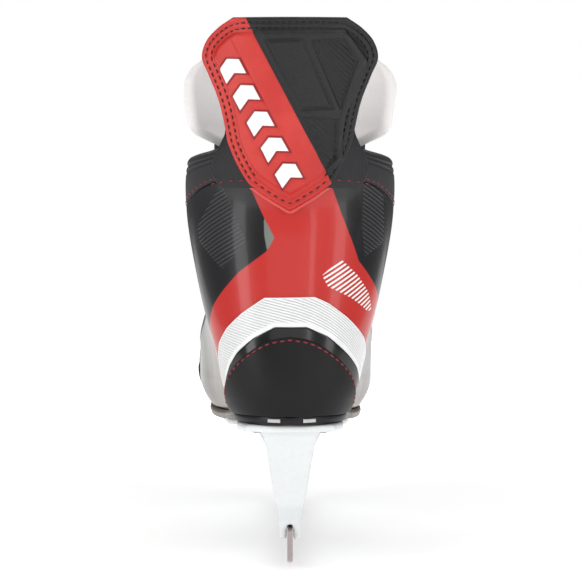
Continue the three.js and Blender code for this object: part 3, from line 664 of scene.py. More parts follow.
@dataclass(frozen=True)
class PrintedShell(Finish):
    """Clear-coated composite: prints laid under lacquer, so every colour shares one wet gloss. Its lower sides carry
    a painted reflection of the white floor, beige on the black and pink on the red.
    """

    red: str = "#bb2823"
    light_red: str = "#cd3d36"
    window: str = "#0c0c0e"
    # the next two colours are a painted reflection of the white floor on the lower sides, from taupe to beige
    bare: str = "#6d5f4f"
    floor_reflection_light: str = "#8b7b69"
    diamond: str = "#757a73"
    white: str = "#f4f3f1"

    def pattern(self, tree: bpy.types.NodeTree) -> tuple[Socket, Socket, Socket]:
        """Returns the print's colours with a painted floor reflection on the lower sides, the lacquer's roughness
        and the height of the weave.
        """
        flat = add_node(tree, "CombineXYZ", links={0: attribute(tree, "girth"), 1: attribute(tree, "rise")})
        broad = self.spots(tree, 14.0)
        side = math_node(tree, "ABSOLUTE", attribute(tree, "girth"))
        folded = add_node(tree, "CombineXYZ", links={0: side, 1: attribute(tree, "rise")})
        twill = lines_at(tree, folded, -63, 2.1)
        speed = lines_at(tree, flat, 61, 2.3)
        fine = lines_at(tree, flat, 45, 1.1)
        edge = 0.25
        tint = mixed(tree, math_node(tree, "MULTIPLY", fine, 0.25), self.base, self.second)
        hatch = between(tree, attribute(tree, "hatch"), -edge, edge)
        ribbed = mixed(tree, between(tree, twill, 0.4, 0.8), "#161618", "#323236")
        tint = mixed(tree, hatch, tint, ribbed)
        tint = mixed(tree, between(tree, attribute(tree, "window"), -edge, edge), tint, self.window)
        # painted reflection of the white floor: the lower sides lighten to beige in soft vertical streaks
        fade = attribute(tree, "fade")
        streaks = self.spots(tree, 5.0, (1, 1, 0.25))
        floor_reflection_tint = mixed(tree, between(tree, streaks, 0.3, 0.7), self.bare, self.floor_reflection_light)
        neck = between(tree, attribute(tree, "neck"), -edge, edge)
        woven = math_node(tree, "MULTIPLY", fine, 0.45)
        red = mixed(tree, math_node(tree, "MULTIPLY", broad, woven), self.red, self.light_red)
        tint = mixed(tree, fade, tint, floor_reflection_tint)
        # the red also takes the painted floor reflection low down, turning pink
        red_fade = attribute(tree, "red_fade")
        tint = mixed(tree, neck, tint, mixed(tree, red_fade, red, floor_reflection_tint))
        tint = mixed(tree, between(tree, attribute(tree, "diamond"), -edge, edge), tint, self.diamond)
        lines = between(tree, speed, 0.52, 0.62)
        shown = math_node(tree, "MULTIPLY", lines,
            between(tree, attribute(tree, "speed_lines"), -edge, edge))
        tint = mixed(tree, shown, tint, self.white)
        rough = add_node(tree, "MapRange", {"To Min": self.roughness, "To Max": self.roughness + 0.1},
                         {"Value": broad})
        relief = math_node(tree, "MULTIPLY", math_node(tree, "MULTIPLY", twill, hatch), 0.10)
        height = math_node(tree, "ADD", relief, math_node(tree, "MULTIPLY", fine, self.depth))
        return tint, rough, height


@dataclass(frozen=True)
class MouldedGuard(Finish):
    """Moulded guard in two colours: satin red skin beside black, with raised white marks on the red."""

    red: str = "#b92a26"
    light_red: str = "#c93a33"
    outline: str = "#8e1c20"
    white: str = "#f6f6f4"

    def pattern(self, tree: bpy.types.NodeTree) -> tuple[Socket, Socket, Socket]:
        """Returns the two colours with the marks, a satin roughness and a fine leather grain."""
        fine = self.spots(tree, self.grain)
        broad = self.spots(tree, 14.0)
        edge = 0.2
        black = mixed(tree, between(tree, fine, 0.4, 0.62), self.base, self.second)
        red = mixed(tree, between(tree, broad, 0.3, 0.7), self.red, self.light_red)
        tint = mixed(tree, between(tree, attribute(tree, "stripe"), -edge, edge), black, red)
        mark = attribute(tree, "mark")
        tint = mixed(tree, between(tree, mark, -1.3, -1.0), tint, self.outline)
        tint = mixed(tree, between(tree, mark, -edge, edge), tint, self.white)
        tint = mixed(tree, attribute(tree, "inner_face"), tint, self.base)
        low, high = self.roughness - 0.08, self.roughness + 0.04
        rough = add_node(tree, "MapRange", {"To Min": high, "To Max": low},
            {"Value": attribute(tree, "stripe")})
        return tint, rough, math_node(tree, "MULTIPLY", fine, self.depth)


# Carbon-look composite under clear lacquer: near-black, deep and wet.
LACQUERED_COMPOSITE = PrintedShell(
    "lacquered_composite", "#131316", "#222226", 0.26, depth=0.012, ior=1.36, coat=0.25, coat_roughness=0.1,
)
# Injection-moulded polyurethane with a sewn edge: satin red and leather-grained black.
MOULDED_PU_GUARD = MouldedGuard("moulded_pu_guard", "#171718", "#202022", 0.4, grain=0.45, depth=0.03,
    ior=1.36, coat=0.05,
                                coat_roughness=0.3)
# Moulded rubber: dark grey, matt, with a fine grain that breaks up highlights.
MOULDED_RUBBER = Finish("grained_rubber", "#121113", "#181719", 0.42, grain=0.35, depth=0.015, ior=1.3)
# Polished ABS edge trim: black with mirror-like glints.
POLISHED_ABS = Finish("polished_abs", "#0a0a0b", "#101011", 0.2, grain=3.0, depth=0.002, ior=1.4, coat=0.15,
                      coat_roughness=0.06)
# Ballistic nylon with a polyurethane face: dark grey and slightly pebbled.
COATED_NYLON = Finish("coated_nylon", "#1e1e20", "#28282b", 0.56, grain=0.5, depth=0.05, ior=1.36,
    sheen=0.05)
# Brushed polyester lining: soft charcoal with fine ribs.
KNITTED_LINING = Finish("knitted_lining", "#2c2d30", "#393b3f", 0.95, Texture.KNIT, grain=0.6,
    depth=0.05, sheen=0.4)
# Wool-blend felt: off-white, fluffy, without any shine.
PRESSED_FELT = Finish("pressed_felt", "#faf6f5", "#f1eceb", 0.96, Texture.FELT, grain=0.5, depth=0.07,
    sheen=0.8)
# Glass-filled nylon: opaque white with a faint cool cast.
GLASS_FILLED_NYLON = Finish("glass_filled_nylon", "#e6e9e9", "#dfe3e3", 0.34, grain=1.2, depth=0.006,
    coat=0.15)
# Stainless steel ground lengthways: warm grey with fine streaks.
GROUND_STEEL = Finish("ground_stainless_steel", "#b0a6a6", "#a79d9d", 0.3, Texture.BRUSHED, grain=0.25,
    depth=0.006,
                      metallic=1.0)
# Zinc-plated steel: dull grey with a little shine.
PLATED_STEEL = Finish("plated_steel", "#6e6e74", "#5a5a60", 0.36, grain=0.5, depth=0.004, metallic=1.0)
# Waxed braided polyester: white with crossing strands, with painted shade darkening the hollows between them.
BRAIDED_LACE = Finish("braided_lace", "#ece9e2", "#fbfaf6", 0.75, Texture.WOVEN, grain=0.5, depth=0.16,
    sheen=0.2)
# Bonded nylon thread, black and red: a small waxy glint on each stitch.
BLACK_THREAD = Finish("black_thread", "#0a0a0b", "#151516", 0.5, grain=0.2, depth=0.02)
RED_THREAD = Finish("red_thread", "#7d1820", "#99242c", 0.5, grain=0.2, depth=0.02)
# Satin red piping with the guard's own skin.
RED_PIPING = Finish("red_piping", "#c93f3b", "#d6504a", 0.4, grain=0.4, depth=0.01, coat=0.15)
# Moulded outsole composite: almost black with a brown cast.
SOLE_COMPOSITE = Finish("sole_composite", "#18131a", "#231c20", 0.4, grain=0.8, depth=0.01, coat=0.2)
# Bare glass-fibre board edge: taupe, dry.
BOARD_EDGE = Finish("glass_fibre_board", "#73695f", "#857a6f", 0.6, grain=0.7, depth=0.03)
# Light grey inlay in the sole's edge.
GREY_INLAY = Finish("grey_inlay", "#b9b7b8", "#c8c6c7", 0.4, grain=0.8, depth=0.01)
# Painted studio floor: white and even.
STUDIO_PAINT = Finish("studio_paint", "#ffffff", "#fcfcfc", 0.9, grain=30.0, depth=0.0)


def dress(piece: bpy.types.Object, finish: Finish, body: str = "boot",
        nodes: Sequence[str] = ()) -> None:
    """Gives a piece its finish, its body and the CAD nodes that it stands for.

    Args:
        piece: The piece.
        finish: Its finish.
        body: The CAD body that it moves with, or "" to leave it unattached.
        nodes: CAD nodes that it replaces.
    """
    piece.data.materials.clear()
    piece.data.materials.append(finish.material())
    if nodes:
        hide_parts(*nodes)
    if body:
        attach(piece, body)
    log.info("%s: %d faces, %s", piece.name, len(piece.data.polygons), finish.name)


# ---- the boot ----
@dataclass
class BootShell:
    """The composite quarters, the lining inside them and the footbed."""

    columns: int = 320
    rows: int = 110
    seam: Line = Line(((-20, 212), (10, 211), (30, 207), (60, 194), (88, 190), (112, 192), (135, 200)))
    edge_x: float = 35.0
    neck: Sequence[tuple[float, float]] = (
        (-25, 213), (-14.6, 190.8), (-8.9, 178.8), (-12.3, 171.6), (-20, 166.1), (-28.8, 160),
        (-39.1, 150.7),
        (-49.2, 141.3), (-58, 130), (-64, 116), (-66, 92), (82, 92), (81, 118), (75, 134), (62.3, 147),
        (51.3, 156.1),
        (40.7, 165.5), (36.6, 174.5), (29.3, 190.5), (20.5, 213),
    )
    hatch: Sequence[tuple[float, float]] = (
        (-60, 184), (-40, 208), (-30.9, 190.5), (-23.8, 176.3), (-40.1, 161.5), (-58.3, 175.7)
    )
    window: Sequence[tuple[float, float]] = (
        (-38, 213), (-23.2, 209), (-13.9, 189.8), (-13.9, 169.3), (-28.8, 161.9), (-27.6, 169.8),
        (-23, 176.3),
        (-30.9, 190.5),
    )
    diamond: Sequence[tuple[float, float]] = ((-14.2, 190), (-8.4, 178.8), (-12.3, 171.5), (-13.9, 179.9))
    speed_lines: Sequence[tuple[float, float]] = (
        (17.5, 158.5), (28.5, 167), (40, 158), (50, 148), (55, 139), (50, 138.5), (36, 146), (21, 152.5)
    )
    hatch_right: Sequence[tuple[float, float]] = ((43, 184), (44, 214), (60, 214), (62, 176), (45, 168))
    window_right: Sequence[tuple[float, float]] = (
        (20, 214), (38, 214), (41.7, 190.3), (36.6, 172), (29.3, 189)
    )

    def __post_init__(self) -> None:
        """Works out the quarters' front edge once: its theta at each height."""
        z = np.linspace(60, 240, 91)
        low, high = np.full(z.shape, 1.2), np.full(z.shape, math.pi)
        for _ in range(20):
            middle = (low + high) / 2
            behind = SKIN.point(middle, z)[:, 1] - HEEL_Y < 226 + (131 - z) * 0.17
            low, high = np.where(behind, middle, low), np.where(behind, high, middle)
        self.edge_heights = z
        self.edge_thetas = np.minimum(middle, SKIN.front_theta(z, np.full(z.shape, self.edge_x)))

    def front_edge(self, z: Array) -> Array:
        """Returns the theta of the quarters' front edge, under the toe cap and the eyelet strips."""
        return np.interp(z, self.edge_heights, self.edge_thetas)

    def place(self, u: Array, v: Array, offset: float, lift: float, drop: float) -> Array:
        """Returns points of a layer of the boot.

        Args:
            u: Turn from the left front edge (0) round the heel to the right front edge (1).
            v: Height from the sole (0) to the seam (1).
            offset: Distance outside the skin.
            lift: Height of the lower edge above the sole line.
            drop: Depth of the upper edge below the seam.
        """
        turn = (u * 2 - 1)
        low, high = np.full(np.shape(u), 80.0), np.full(np.shape(u), 200.0)
        for _ in range(8):
            h_low = SKIN.point(turn * self.front_edge(low), low)[..., 1] - HEEL_Y
            h_high = SKIN.point(turn * self.front_edge(high), high)[..., 1] - HEEL_Y
            low, high = (low + SKIN.sole(h_low) + lift) / 2, (high + self.seam(h_high) - drop) / 2
        z = low + (high - low) * v
        theta = turn * self.front_edge(z)
        return SKIN.point(theta, z) + SKIN.normal(theta, z) * offset

    def marks(self, u: Array, v: Array, at: Array) -> dict[str, Array]:
        """Returns the print's outlines as signed distances, and how strongly a painted reflection of the white floor
        lightens the lower sides and the red.
        """
        del v
        turn = u * 2 - 1
        z = at[..., 2]
        girth = SKIN.girth_of_theta(turn * self.front_edge(z), z)
        neck = polygon_distance(girth, z, self.neck)
        side = np.abs(girth)
        # painted reflection of the white floor, strongest low on the sides
        lower = smooth_step(z, 138, 98) * smooth_step(side, 250, 110)
        windows = np.maximum(polygon_distance(girth, z, self.window),
            polygon_distance(girth, z, self.window_right))
        return {
            "girth": girth, "rise": z, "neck": neck,
            "speed_lines": polygon_distance(girth, z, self.speed_lines),
            "fade": lower * smooth_step(side, 40, 56),
            "red_fade": smooth_step(z, 140, 106) * smooth_step(side, 46, 66),
            "hatch": np.maximum(
                polygon_distance(girth, z, self.hatch), polygon_distance(girth, z, self.hatch_right)
            ),
            "window": windows, "diamond": polygon_distance(girth, z, self.diamond),
        }

    def build(self) -> None:
        """Makes the shell, the lining and the footbed."""
        shell = Panel(
            "boot_shell", self.columns, self.rows, lambda u, v: self.place(u, v, -1.6, 0.4, -1.0), 3.2,
            rims=(1, 1, 1.2, 0.8), crowding=0.2, marks=self.marks,
        ).build()
        dress(shell, LACQUERED_COMPOSITE, nodes=("quarter_left", "quarter_right"))
        lining = Panel(
            "lining_pad", 120, 40, lambda u, v: self.place(0.06 + 0.88 * u, v, -6.0, 5.4, 0.5), 4.3,
            rims=(2, 2, 2, 0.6),
        ).build()
        dress(lining, KNITTED_LINING, nodes=("liner_left", "liner_right"))
        footbed = Panel(
            "footbed_pad", 24, 90, lambda u, v: plan_surface(u, v, -9.5, 7.6), 3.8,
            rims=(1.5, 1.5, 1.5, 1.5),
        ).build()
        dress(footbed, KNITTED_LINING, nodes=("footbed",))


def plan_surface(u: Array, v: Array, inset: float, lift: float) -> Array:
    """Returns points of a surface that fills the foot's outline at sole height.

    Args:
        u: From the left edge (0) to the right edge (1) of the foot.
        v: From the heel (0) to the toe (1).
        inset: Distance outside the outline, below zero inside it.
        lift: Height above the sole line.
    """
    share = (1 - np.cos(math.pi * v)) / 2
    back, front = 3.1, 282.5
    h = back - inset + (front - back + 2 * inset) * share
    z = SKIN.sole(h)
    half = SKIN.half_width(np.clip(back + (front - back) * share, back + 0.02, front - 0.02), z + 1)
    half = half + inset * np.minimum(half / 20.0, 1.0)
    x = SKIN.axis(h) + (u * 2 - 1) * half
    return np.stack([x, HEEL_Y + h, z + lift], -1)


SIDES = {"left": -1, "right": 1}


@dataclass
class Collar:
    """The padded collar above the quarters, with its sewn lower edge."""

    top: Line = Line(((-20, 229), (18, 228), (32, 224), (60, 221.5), (90, 224), (112, 229), (130, 229)))
    thickness: float = 8.2
    front_x: float = 36.0
    seam: Line = BootShell.seam

    def place(self, u: Array, v: Array, side: int) -> Array:
        """Returns points of the middle of one half, from the heel's middle to the eyelet strip."""
        share = u if side > 0 else 1 - u
        start = 0.03
        low, high = np.full(np.shape(u), 205.0), np.full(np.shape(u), 227.0)
        for _ in range(6):
            h_low = SKIN.point(start + share * (self.end(low) - start), low)[..., 1] - HEEL_Y
            h_high = SKIN.point(start + share * (self.end(high) - start), high)[..., 1] - HEEL_Y
            low, high = self.seam(h_low) + 0.2, self.top(h_high)
        z = low + (high - low) * v
        theta = side * (start + share * (self.end(z) - start))
        return SKIN.point(theta, z) - SKIN.normal(theta, z) * self.thickness / 2

    def end(self, z: Array) -> Array:
        """Returns the theta of the front end."""
        return SKIN.front_theta(z, np.full(np.shape(z), self.front_x))

    def relief(self, u: Array, v: Array) -> Array:
        """Returns the height of the rolled rim, its seam and the soft fullness of the foam."""
        seam = -0.7 * np.exp(-(((v - 0.80) / 0.025) ** 2))
        foot = -0.5 * smooth_step(v, 0.14, 0.05)
        panel = 0.36 + 0.3 * smooth_step(u * (1 - u), 0.0, 0.16)
        seam = seam - 0.45 * np.exp(-(((v - panel) / 0.02) ** 2))
        return seam + foot + 0.35 * np.sin(math.pi * v) * (1 + 0.3 * np.sin(u * 37))

    def stitch_path(self, side: int, height: float) -> Array:
        """Returns the line of stitches a little above the seam."""
        theta = np.linspace(0.36, 2.55, 200)
        z = np.full(200, 205.0)
        for _ in range(6):
            z = self.seam(SKIN.point(theta, z)[:, 1] - HEEL_Y) + height
        return SKIN.point(side * theta, z) + SKIN.normal(side * theta, z) * 0.2

    def build(self) -> None:
        """Makes the two halves and their stitches."""
        rows = []
        for name, side in SIDES.items():
            rims = (1.0, 2.0, 0.9, 4.0) if side > 0 else (2.0, 1.0, 0.9, 4.0)
            pad = Panel(
                "collar_pad_" + name, 110, 44, lambda u, v, side=side: self.place(u, v, side),
                self.thickness,
                rims=rims, relief=self.relief, crowding=0.5,
            ).build()
            dress(pad, COATED_NYLON, nodes=("collar_" + name,))
            rows.append((self.stitch_path(side, 2.4), skin_outward))
        dress(stitches("collar_threads", rows, radius=0.36), RED_THREAD)


def skin_outward(points: Array) -> Array:
    """Returns the outward directions of the boot near points of its skin."""
    centre = np.stack([points[:, 0] * 0, np.clip(points[:, 1], HEEL_Y + 48, HEEL_Y + 240),
        points[:, 2]], -1)
    return unit(points - centre)


@dataclass
class EyeletStrips:
    """The two strips beside the throat with their rolled eyelets."""

    reach: float = 42.0
    lowest_h: float = 222.5
    low_z: float = 130.5
    high_z: float = 219.0
    ring: Knots = (
        (3.0, -3.2), (3.0, 2.5), (3.3, 3.0), (4.2, 2.9), (4.9, 2.3), (4.9, 1.8), (3.5, 1.8),
        (3.5, -3.2), (3.0, -3.2)
    )

    def __post_init__(self) -> None:
        """Works out the eyelets' heights, evenly spaced along their row."""
        z = np.arange(self.low_z, self.high_z + 0.01, 0.5)
        trail = SKIN.on_front(z, np.full(z.shape, EYELET_X), 0.0)
        run = np.concatenate([[0.0], np.cumsum(np.linalg.norm(np.diff(trail, axis=0), axis=1))])
        self.heights = np.interp(np.linspace(0, run[-1], EYELETS), run, z)

    def place(self, u: Array, v: Array, side: int) -> Array:
        """Returns points of the middle of one strip."""
        x = self.reach + (THROAT - self.reach) * (u if side > 0 else 1 - u)
        low = np.full(np.shape(u), 128.0)
        for _ in range(12):
            h = SKIN.on_front(low, x, 0.0)[..., 1] - HEEL_Y
            low = np.clip(low + (h - self.lowest_h) * 0.35, 80, 160)
        z = low + (228.4 - low) * v
        return SKIN.on_front(z, x * side, -0.7)

    def eyelet(self, row: int, side: int) -> tuple[Array, Array]:
        """Returns the place and the outward direction of one eyelet."""
        z = np.array(self.heights[row])
        theta = SKIN.front_theta(z, np.array(EYELET_X)) * side
        return SKIN.point(theta, z), SKIN.normal(theta, z)

    def build(self) -> None:
        """Makes the strips with open holes, and the rolled rings."""
        for name, side in SIDES.items():
            strip = Panel(
                "eyelet_strip_" + name, 30, 150, lambda u, v, side=side: self.place(u, v, side), 5.0,
                rims=(1.2, 1.2, 1.2, 1.2),
            ).build()
            bars, rings = bmesh.new(), bmesh.new()
            for row in range(EYELETS):
                at, normal = self.eyelet(row, side)
                bmesh.ops.create_cone(
                    bars, cap_ends=True, segments=20, radius1=3.4 * MM, radius2=3.4 * MM, depth=24 * MM,
                    matrix=facing(normal, at),
                )
                lathe(rings, self.ring, facing(normal, at), steps=20)
            cutter = finish_mesh("eyelet_cutter", bars)
            cut = strip.modifiers.new("holes", "BOOLEAN")
            cut.operation, cut.object, cut.solver = "DIFFERENCE", cutter, "EXACT"
            bake_modifiers(strip)
            bpy.data.objects.remove(cutter)
            dress(strip, COATED_NYLON, nodes=("facing_" + name,))
            nodes = [f"eyelet_{name}_{row + 1:02d}" for row in range(EYELETS)]
            dress(finish_mesh("eyelet_rings_" + name, rings, weld=1e-8), PLATED_STEEL,
                nodes=nodes)


@dataclass
class Lace:
    """One cord in crossed rows, tucked behind the collar at both ends."""

    strips: EyeletStrips = field(default_factory=EyeletStrips)
    radius: float = 1.6
    above: float = 5.6
    under: float = 5.8
    bend: float = 26.0
    inside: float = -4.4
    outside: float = 4.6

    def beside(self, row: int, side: int, offset: float) -> Array:
        """Returns a point on an eyelet's axis."""
        at, normal = self.strips.eyelet(row, side)
        return at + normal * offset

    def crossing(self, row: int, side: int, drop: float) -> list[Array]:
        """Returns the way from one eyelet over the throat and up through the next on the other side."""
        low, high = self.strips.heights[row : row + 2]
        middle = SKIN.on_front((low + high) / 2, 0.0, -drop)
        return [
            self.beside(row, side, self.outside),
            SKIN.on_front(low * 0.95 + high * 0.05, side * self.bend, self.above),
            SKIN.on_front(low * 0.8 + high * 0.2, side * (THROAT - 2.5), self.above - 2),
            middle,
            SKIN.on_front(low * 0.2 + high * 0.8, -side * (THROAT - 2.5), -self.under),
            SKIN.on_front(low * 0.05 + high * 0.95, -side * self.bend, -self.under - 0.4),
            self.beside(row + 1, -side, self.inside),
        ]

    def tail(self, side: int, lift: float) -> list[Array]:
        """Returns the last crossing, which dives into the top eyelet and ends behind the collar."""
        row = EYELETS - 2
        low, high = self.strips.heights[row : row + 2]
        return [
            self.beside(row, side, self.outside),
            SKIN.on_front(low, side * self.bend, self.above),
            SKIN.on_front(low * 0.7 + high * 0.3, side * (THROAT - 2.5), self.above + lift / 2),
            SKIN.on_front((low + high) / 2, 0.0, self.above - 3 + lift),
            SKIN.on_front(low * 0.3 + high * 0.7, -side * (THROAT - 2.5), self.above + lift / 2),
            SKIN.on_front(high, -side * self.bend, self.above),
            self.beside(row + 1, -side, self.outside),
            self.beside(row + 1, -side, self.inside),
            SKIN.on_front(high - 4, -side * (EYELET_X + 4), -self.under - 0.5),
            SKIN.on_front(high - 14, -side * (EYELET_X + 6.5), -self.under - 0.5),
            SKIN.on_front(high - 26, -side * (EYELET_X + 6.5), -self.under - 0.5),
        ]

    def strand(self, first: int, drop: float, lift: float) -> list[Array]:
        """Returns one strand from its lowest eyelet to its tucked end."""
        points: list[Array] = []
        for row in range(EYELETS - 2):
            points += self.crossing(row, first if row % 2 == 0 else -first, drop)
        return points + self.tail(first if EYELETS % 2 == 0 else -first, lift)

    def route(self) -> Array:
        """Returns the whole cord's middle line as a smooth path."""
        low = self.strips.low_z
        bar = [
            self.beside(0, -1, self.inside), SKIN.on_front(low, -self.bend, -self.under - 0.4),
            SKIN.on_front(low - 0.5, 0.0, -self.under), SKIN.on_front(low, self.bend, -self.under - 0.4),
            self.beside(0, 1, self.inside),
        ]
        stops = np.array(self.strand(-1, 1.4, 4)[::-1] + bar + self.strand(1, 5.4, 0))
        knots = np.concatenate([[0.0], np.cumsum(np.linalg.norm(np.diff(stops, axis=0), axis=1) ** 0.5)])
        path = []
        for i in range(len(stops) - 1):
            ids = [max(i - 1, 0), i, i + 1, min(i + 2, len(stops) - 1)]
            before, start, end, after = stops[ids]
            t0, t1, t2, t3 = knots[ids]
            gap = t2 - t1
            leave = (end - before) / max(t2 - t0, 1e-6) * gap
            arrive = (after - start) / max(t3 - t1, 1e-6) * gap
            t = np.linspace(0, 1, 7)[:-1, None]
            path.append(
                start * (1 + 2 * t) * (1 - t) ** 2 + end * t * t * (3 - 2 * t)
                + leave * t * (1 - t) ** 2 - arrive * t * t * (1 - t)
            )
        return np.concatenate(path + [stops[-1:]])

    def build(self) -> None:
        """Makes the cord."""
        path = self.route()
        tangents = unit(np.gradient(path, axis=0))
        normals = [np.array([0.0, 0.0, 1.0])]
        for tangent in tangents:
            normals.append(unit(normals[-1] - tangent * np.dot(normals[-1], tangent)))
        cord = tube("lace_cord", path, np.array(normals[1:]), (self.radius, self.radius * 0.86), 12)
        log.info("lace length %.0f mm", np.linalg.norm(np.diff(path, axis=0), axis=1).sum())
        dress(cord, BRAIDED_LACE, nodes=("lace",))


@dataclass
class ToeBox:
    """The hard glossy toe cap."""

    joint: float = 224.0
    lean: float = 0.17
    proud: float = 1.4
    top: float = 130.4

    def place(self, u: Array, v: Array) -> Array:
        """Returns points of its middle, from the right joint round the toe to the left one."""
        z = np.full(np.shape(u), 100.0)
        for _ in range(6):
            theta = self.theta(u, z)
            low = SKIN.sole(SKIN.point(theta, z)[..., 1] - HEEL_Y) + 0.4
            z = low + (self.top - low) * v
        theta = self.theta(u, z)
        return SKIN.point(theta, z) + SKIN.normal(theta, z) * (self.proud - 2.4)

    def theta(self, u: Array, z: Array) -> Array:
        """Returns the turn at each share of the way round the toe."""
        low, high = np.full(np.shape(z), 1.2), np.full(np.shape(z), math.pi)
        for _ in range(22):
            middle = (low + high) / 2
            behind = SKIN.point(middle, z)[..., 1] - HEEL_Y < self.joint + (131 - z) * self.lean
            low, high = np.where(behind, middle, low), np.where(behind, high, middle)
        return math.pi + (u * 2 - 1) * (math.pi - middle)

    def relief(self, u: Array, v: Array) -> Array:
        """Returns the height of the bumper round its foot and of the raised lip at the joint."""
        bumper = 0.7 * smooth_step(v, 0.36, 0.32)
        lip = 0.5 * (smooth_step(u, 0.06, 0.045) + smooth_step(u, 0.94, 0.955))
        return bumper + lip

    def build(self) -> None:
        """Makes the cap."""
        cap = Panel("toe_box", 150, 70, self.place, 4.6, rims=(1.4, 1.4, 1.2, 1.0),
            relief=self.relief).build()
        dress(cap, POLISHED_ABS, nodes=("toe_cap",))


@dataclass(frozen=True)
class GroovedBand(Finish):
    """White TPU with painted shade: grey laid into its grooves."""

    # painted shade laid into the grooves
    groove: str = "#b9bdbd"

    def pattern(self, tree: bpy.types.NodeTree) -> tuple[Socket, Socket, Socket]:
        """Returns the plain finish with grey painted into the grooves as shade."""
        tint, rough, height = super().pattern(tree)
        return mixed(tree, attribute(tree, "groove"), tint, self.groove), rough, height


# Grooved TPU: clean white with a soft shine, and grey painted shade in the grooves.
GROOVED_TPU = GroovedBand("grooved_white_tpu", "#f1f1f2", "#ebebea", 0.3, grain=2.0, depth=0.004, coat=0.3)


@dataclass
class Chain:
    """A line through flat-map points, read by the share of its length."""

    points: Sequence[tuple[float, float]]

    def __call__(self, share: Array) -> Array:
        """Returns (girth, z) at each share of the length."""
        corners = np.array(self.points, float)
        run = np.concatenate([[0.0], np.cumsum(np.linalg.norm(np.diff(corners, axis=0), axis=1))])
        return np.stack([np.interp(share * run[-1], run, corners[:, k]) for k in (0, 1)], -1)


@dataclass
class Heel:
    """The moulded heel cap, the polished rim above it and the grooved white band round them."""

    reach: float = 49.0
    arc: Line = Line(((0, 126.4), (10, 124.6), (18, 120.6), (27.5, 114), (35.3, 107), (41, 100),
        (46, 92.5), (49, 87)))
    inner: Chain = field(default_factory=lambda: Chain((
        (-44.5, 87), (-44, 96), (-42.3, 102), (-36.5, 110.5), (-29.9, 117.8), (-20, 125.2), (-8.0, 131.4),
        (8.9, 131.4), (20.8, 126.1), (33.7, 116.6), (43.9, 108.5), (51.5, 100), (56, 91.5), (57.5, 86),
    )))
    outer: Chain = field(default_factory=lambda: Chain((
        (-46.0, 87), (-49, 96), (-50.6, 103.6), (-49.4, 113.4), (-45.5, 121.7), (-37.3, 130.2),
        (-26.7, 138.5),
        (-13.6, 147), (13.2, 147.4), (20.7, 144.1), (32.4, 136.3), (48.2, 124.5), (59, 113), (66, 102),
        (70, 92),
        (71, 86),
    )))
    pitch: float = 1.5

    def arc_z(self, girth: Array) -> Array:
        """Returns the height of the heel cap's upper edge."""
        return self.arc(np.abs(girth))

    def cap_place(self, u: Array, v: Array) -> Array:
        """Returns points of the middle of the cap."""
        girth = (u * 2 - 1) * self.reach
        low = 84.3
        z = low + (self.arc_z(girth) - low) * v
        return SKIN.wrap(girth, z, 1.5)

    def rim_place(self, u: Array, v: Array) -> Array:
        """Returns points of the middle of the polished rim."""
        girth = (u * 2 - 1) * (self.reach - 1.5)
        lower = np.stack([girth, self.arc_z(girth) - 2.5], -1)
        upper = self.inner(u)
        flat = lower + (upper - lower) * v[..., None]
        return SKIN.wrap(flat[..., 0], flat[..., 1], 0.9)

    def band_flat(self, u: Array, v: Array) -> Array:
        """Returns the band's (girth, z)."""
        return self.inner(u) + (self.outer(u) - self.inner(u)) * v[..., None]

    def groove(self, u: Array, v: Array) -> Array:
        """Returns how deep in a groove each point of the band lies, from 0 to 1."""
        flat = self.band_flat(u, v)
        girth, z = flat[..., 0], flat[..., 1]
        level = z + 0.25 * girth + 0.008 * np.maximum(girth, 0) ** 2
        wave = 0.5 + 0.5 * np.cos(level * 2 * math.pi / self.pitch)
        border = smooth_step(v, 0.10, 0.22) * smooth_step(v, 0.985, 0.93) * smooth_step(u, 0.03, 0.08)
        return smooth_step(wave, 0.55, 0.95) * border * smooth_step(u, 0.97, 0.92)

    def build(self) -> None:
        """Makes the cap, the rim, the band and the red stitches."""
        cap = Panel("heel_cup", 130, 60, self.cap_place, 2.6, rims=(1.6, 1.6, 1.2, 1.2),
            outside=0.6).build()
        dress(cap, MOULDED_RUBBER, nodes=("heel_cap",))
        rim = Panel("heel_rim", 160, 16, self.rim_place, 1.4, rims=(0.5, 0.5, 0.5, 0.7),
            outside=0.5).build()
        dress(rim, POLISHED_ABS)
        band = Panel(
            "heel_band_print", 340, 96, lambda u,
            v: SKIN.wrap(*np.moveaxis(self.band_flat(u, v), -1, 0), 0.7), 1.0,
            rims=(0.5, 0.5, 0.5, 0.5), crowding=0.0, relief=lambda u, v: -0.35 * self.groove(u, v),
            # the grooves' depth also drives the grey painted shade in them
            marks=lambda u, v, at: {"groove": self.groove(u, v)},
        ).build()
        dress(band, GROOVED_TPU, nodes=("heel_band",))
        girth = np.linspace(-self.reach + 2.5, self.reach - 2.5, 240)
        row = SKIN.wrap(girth, self.arc_z(girth) - 1.9, 3.0)
        dress(stitches("heel_threads", [(row, skin_outward)], pitch=4.0, length=2.8, radius=0.5),
            RED_THREAD)


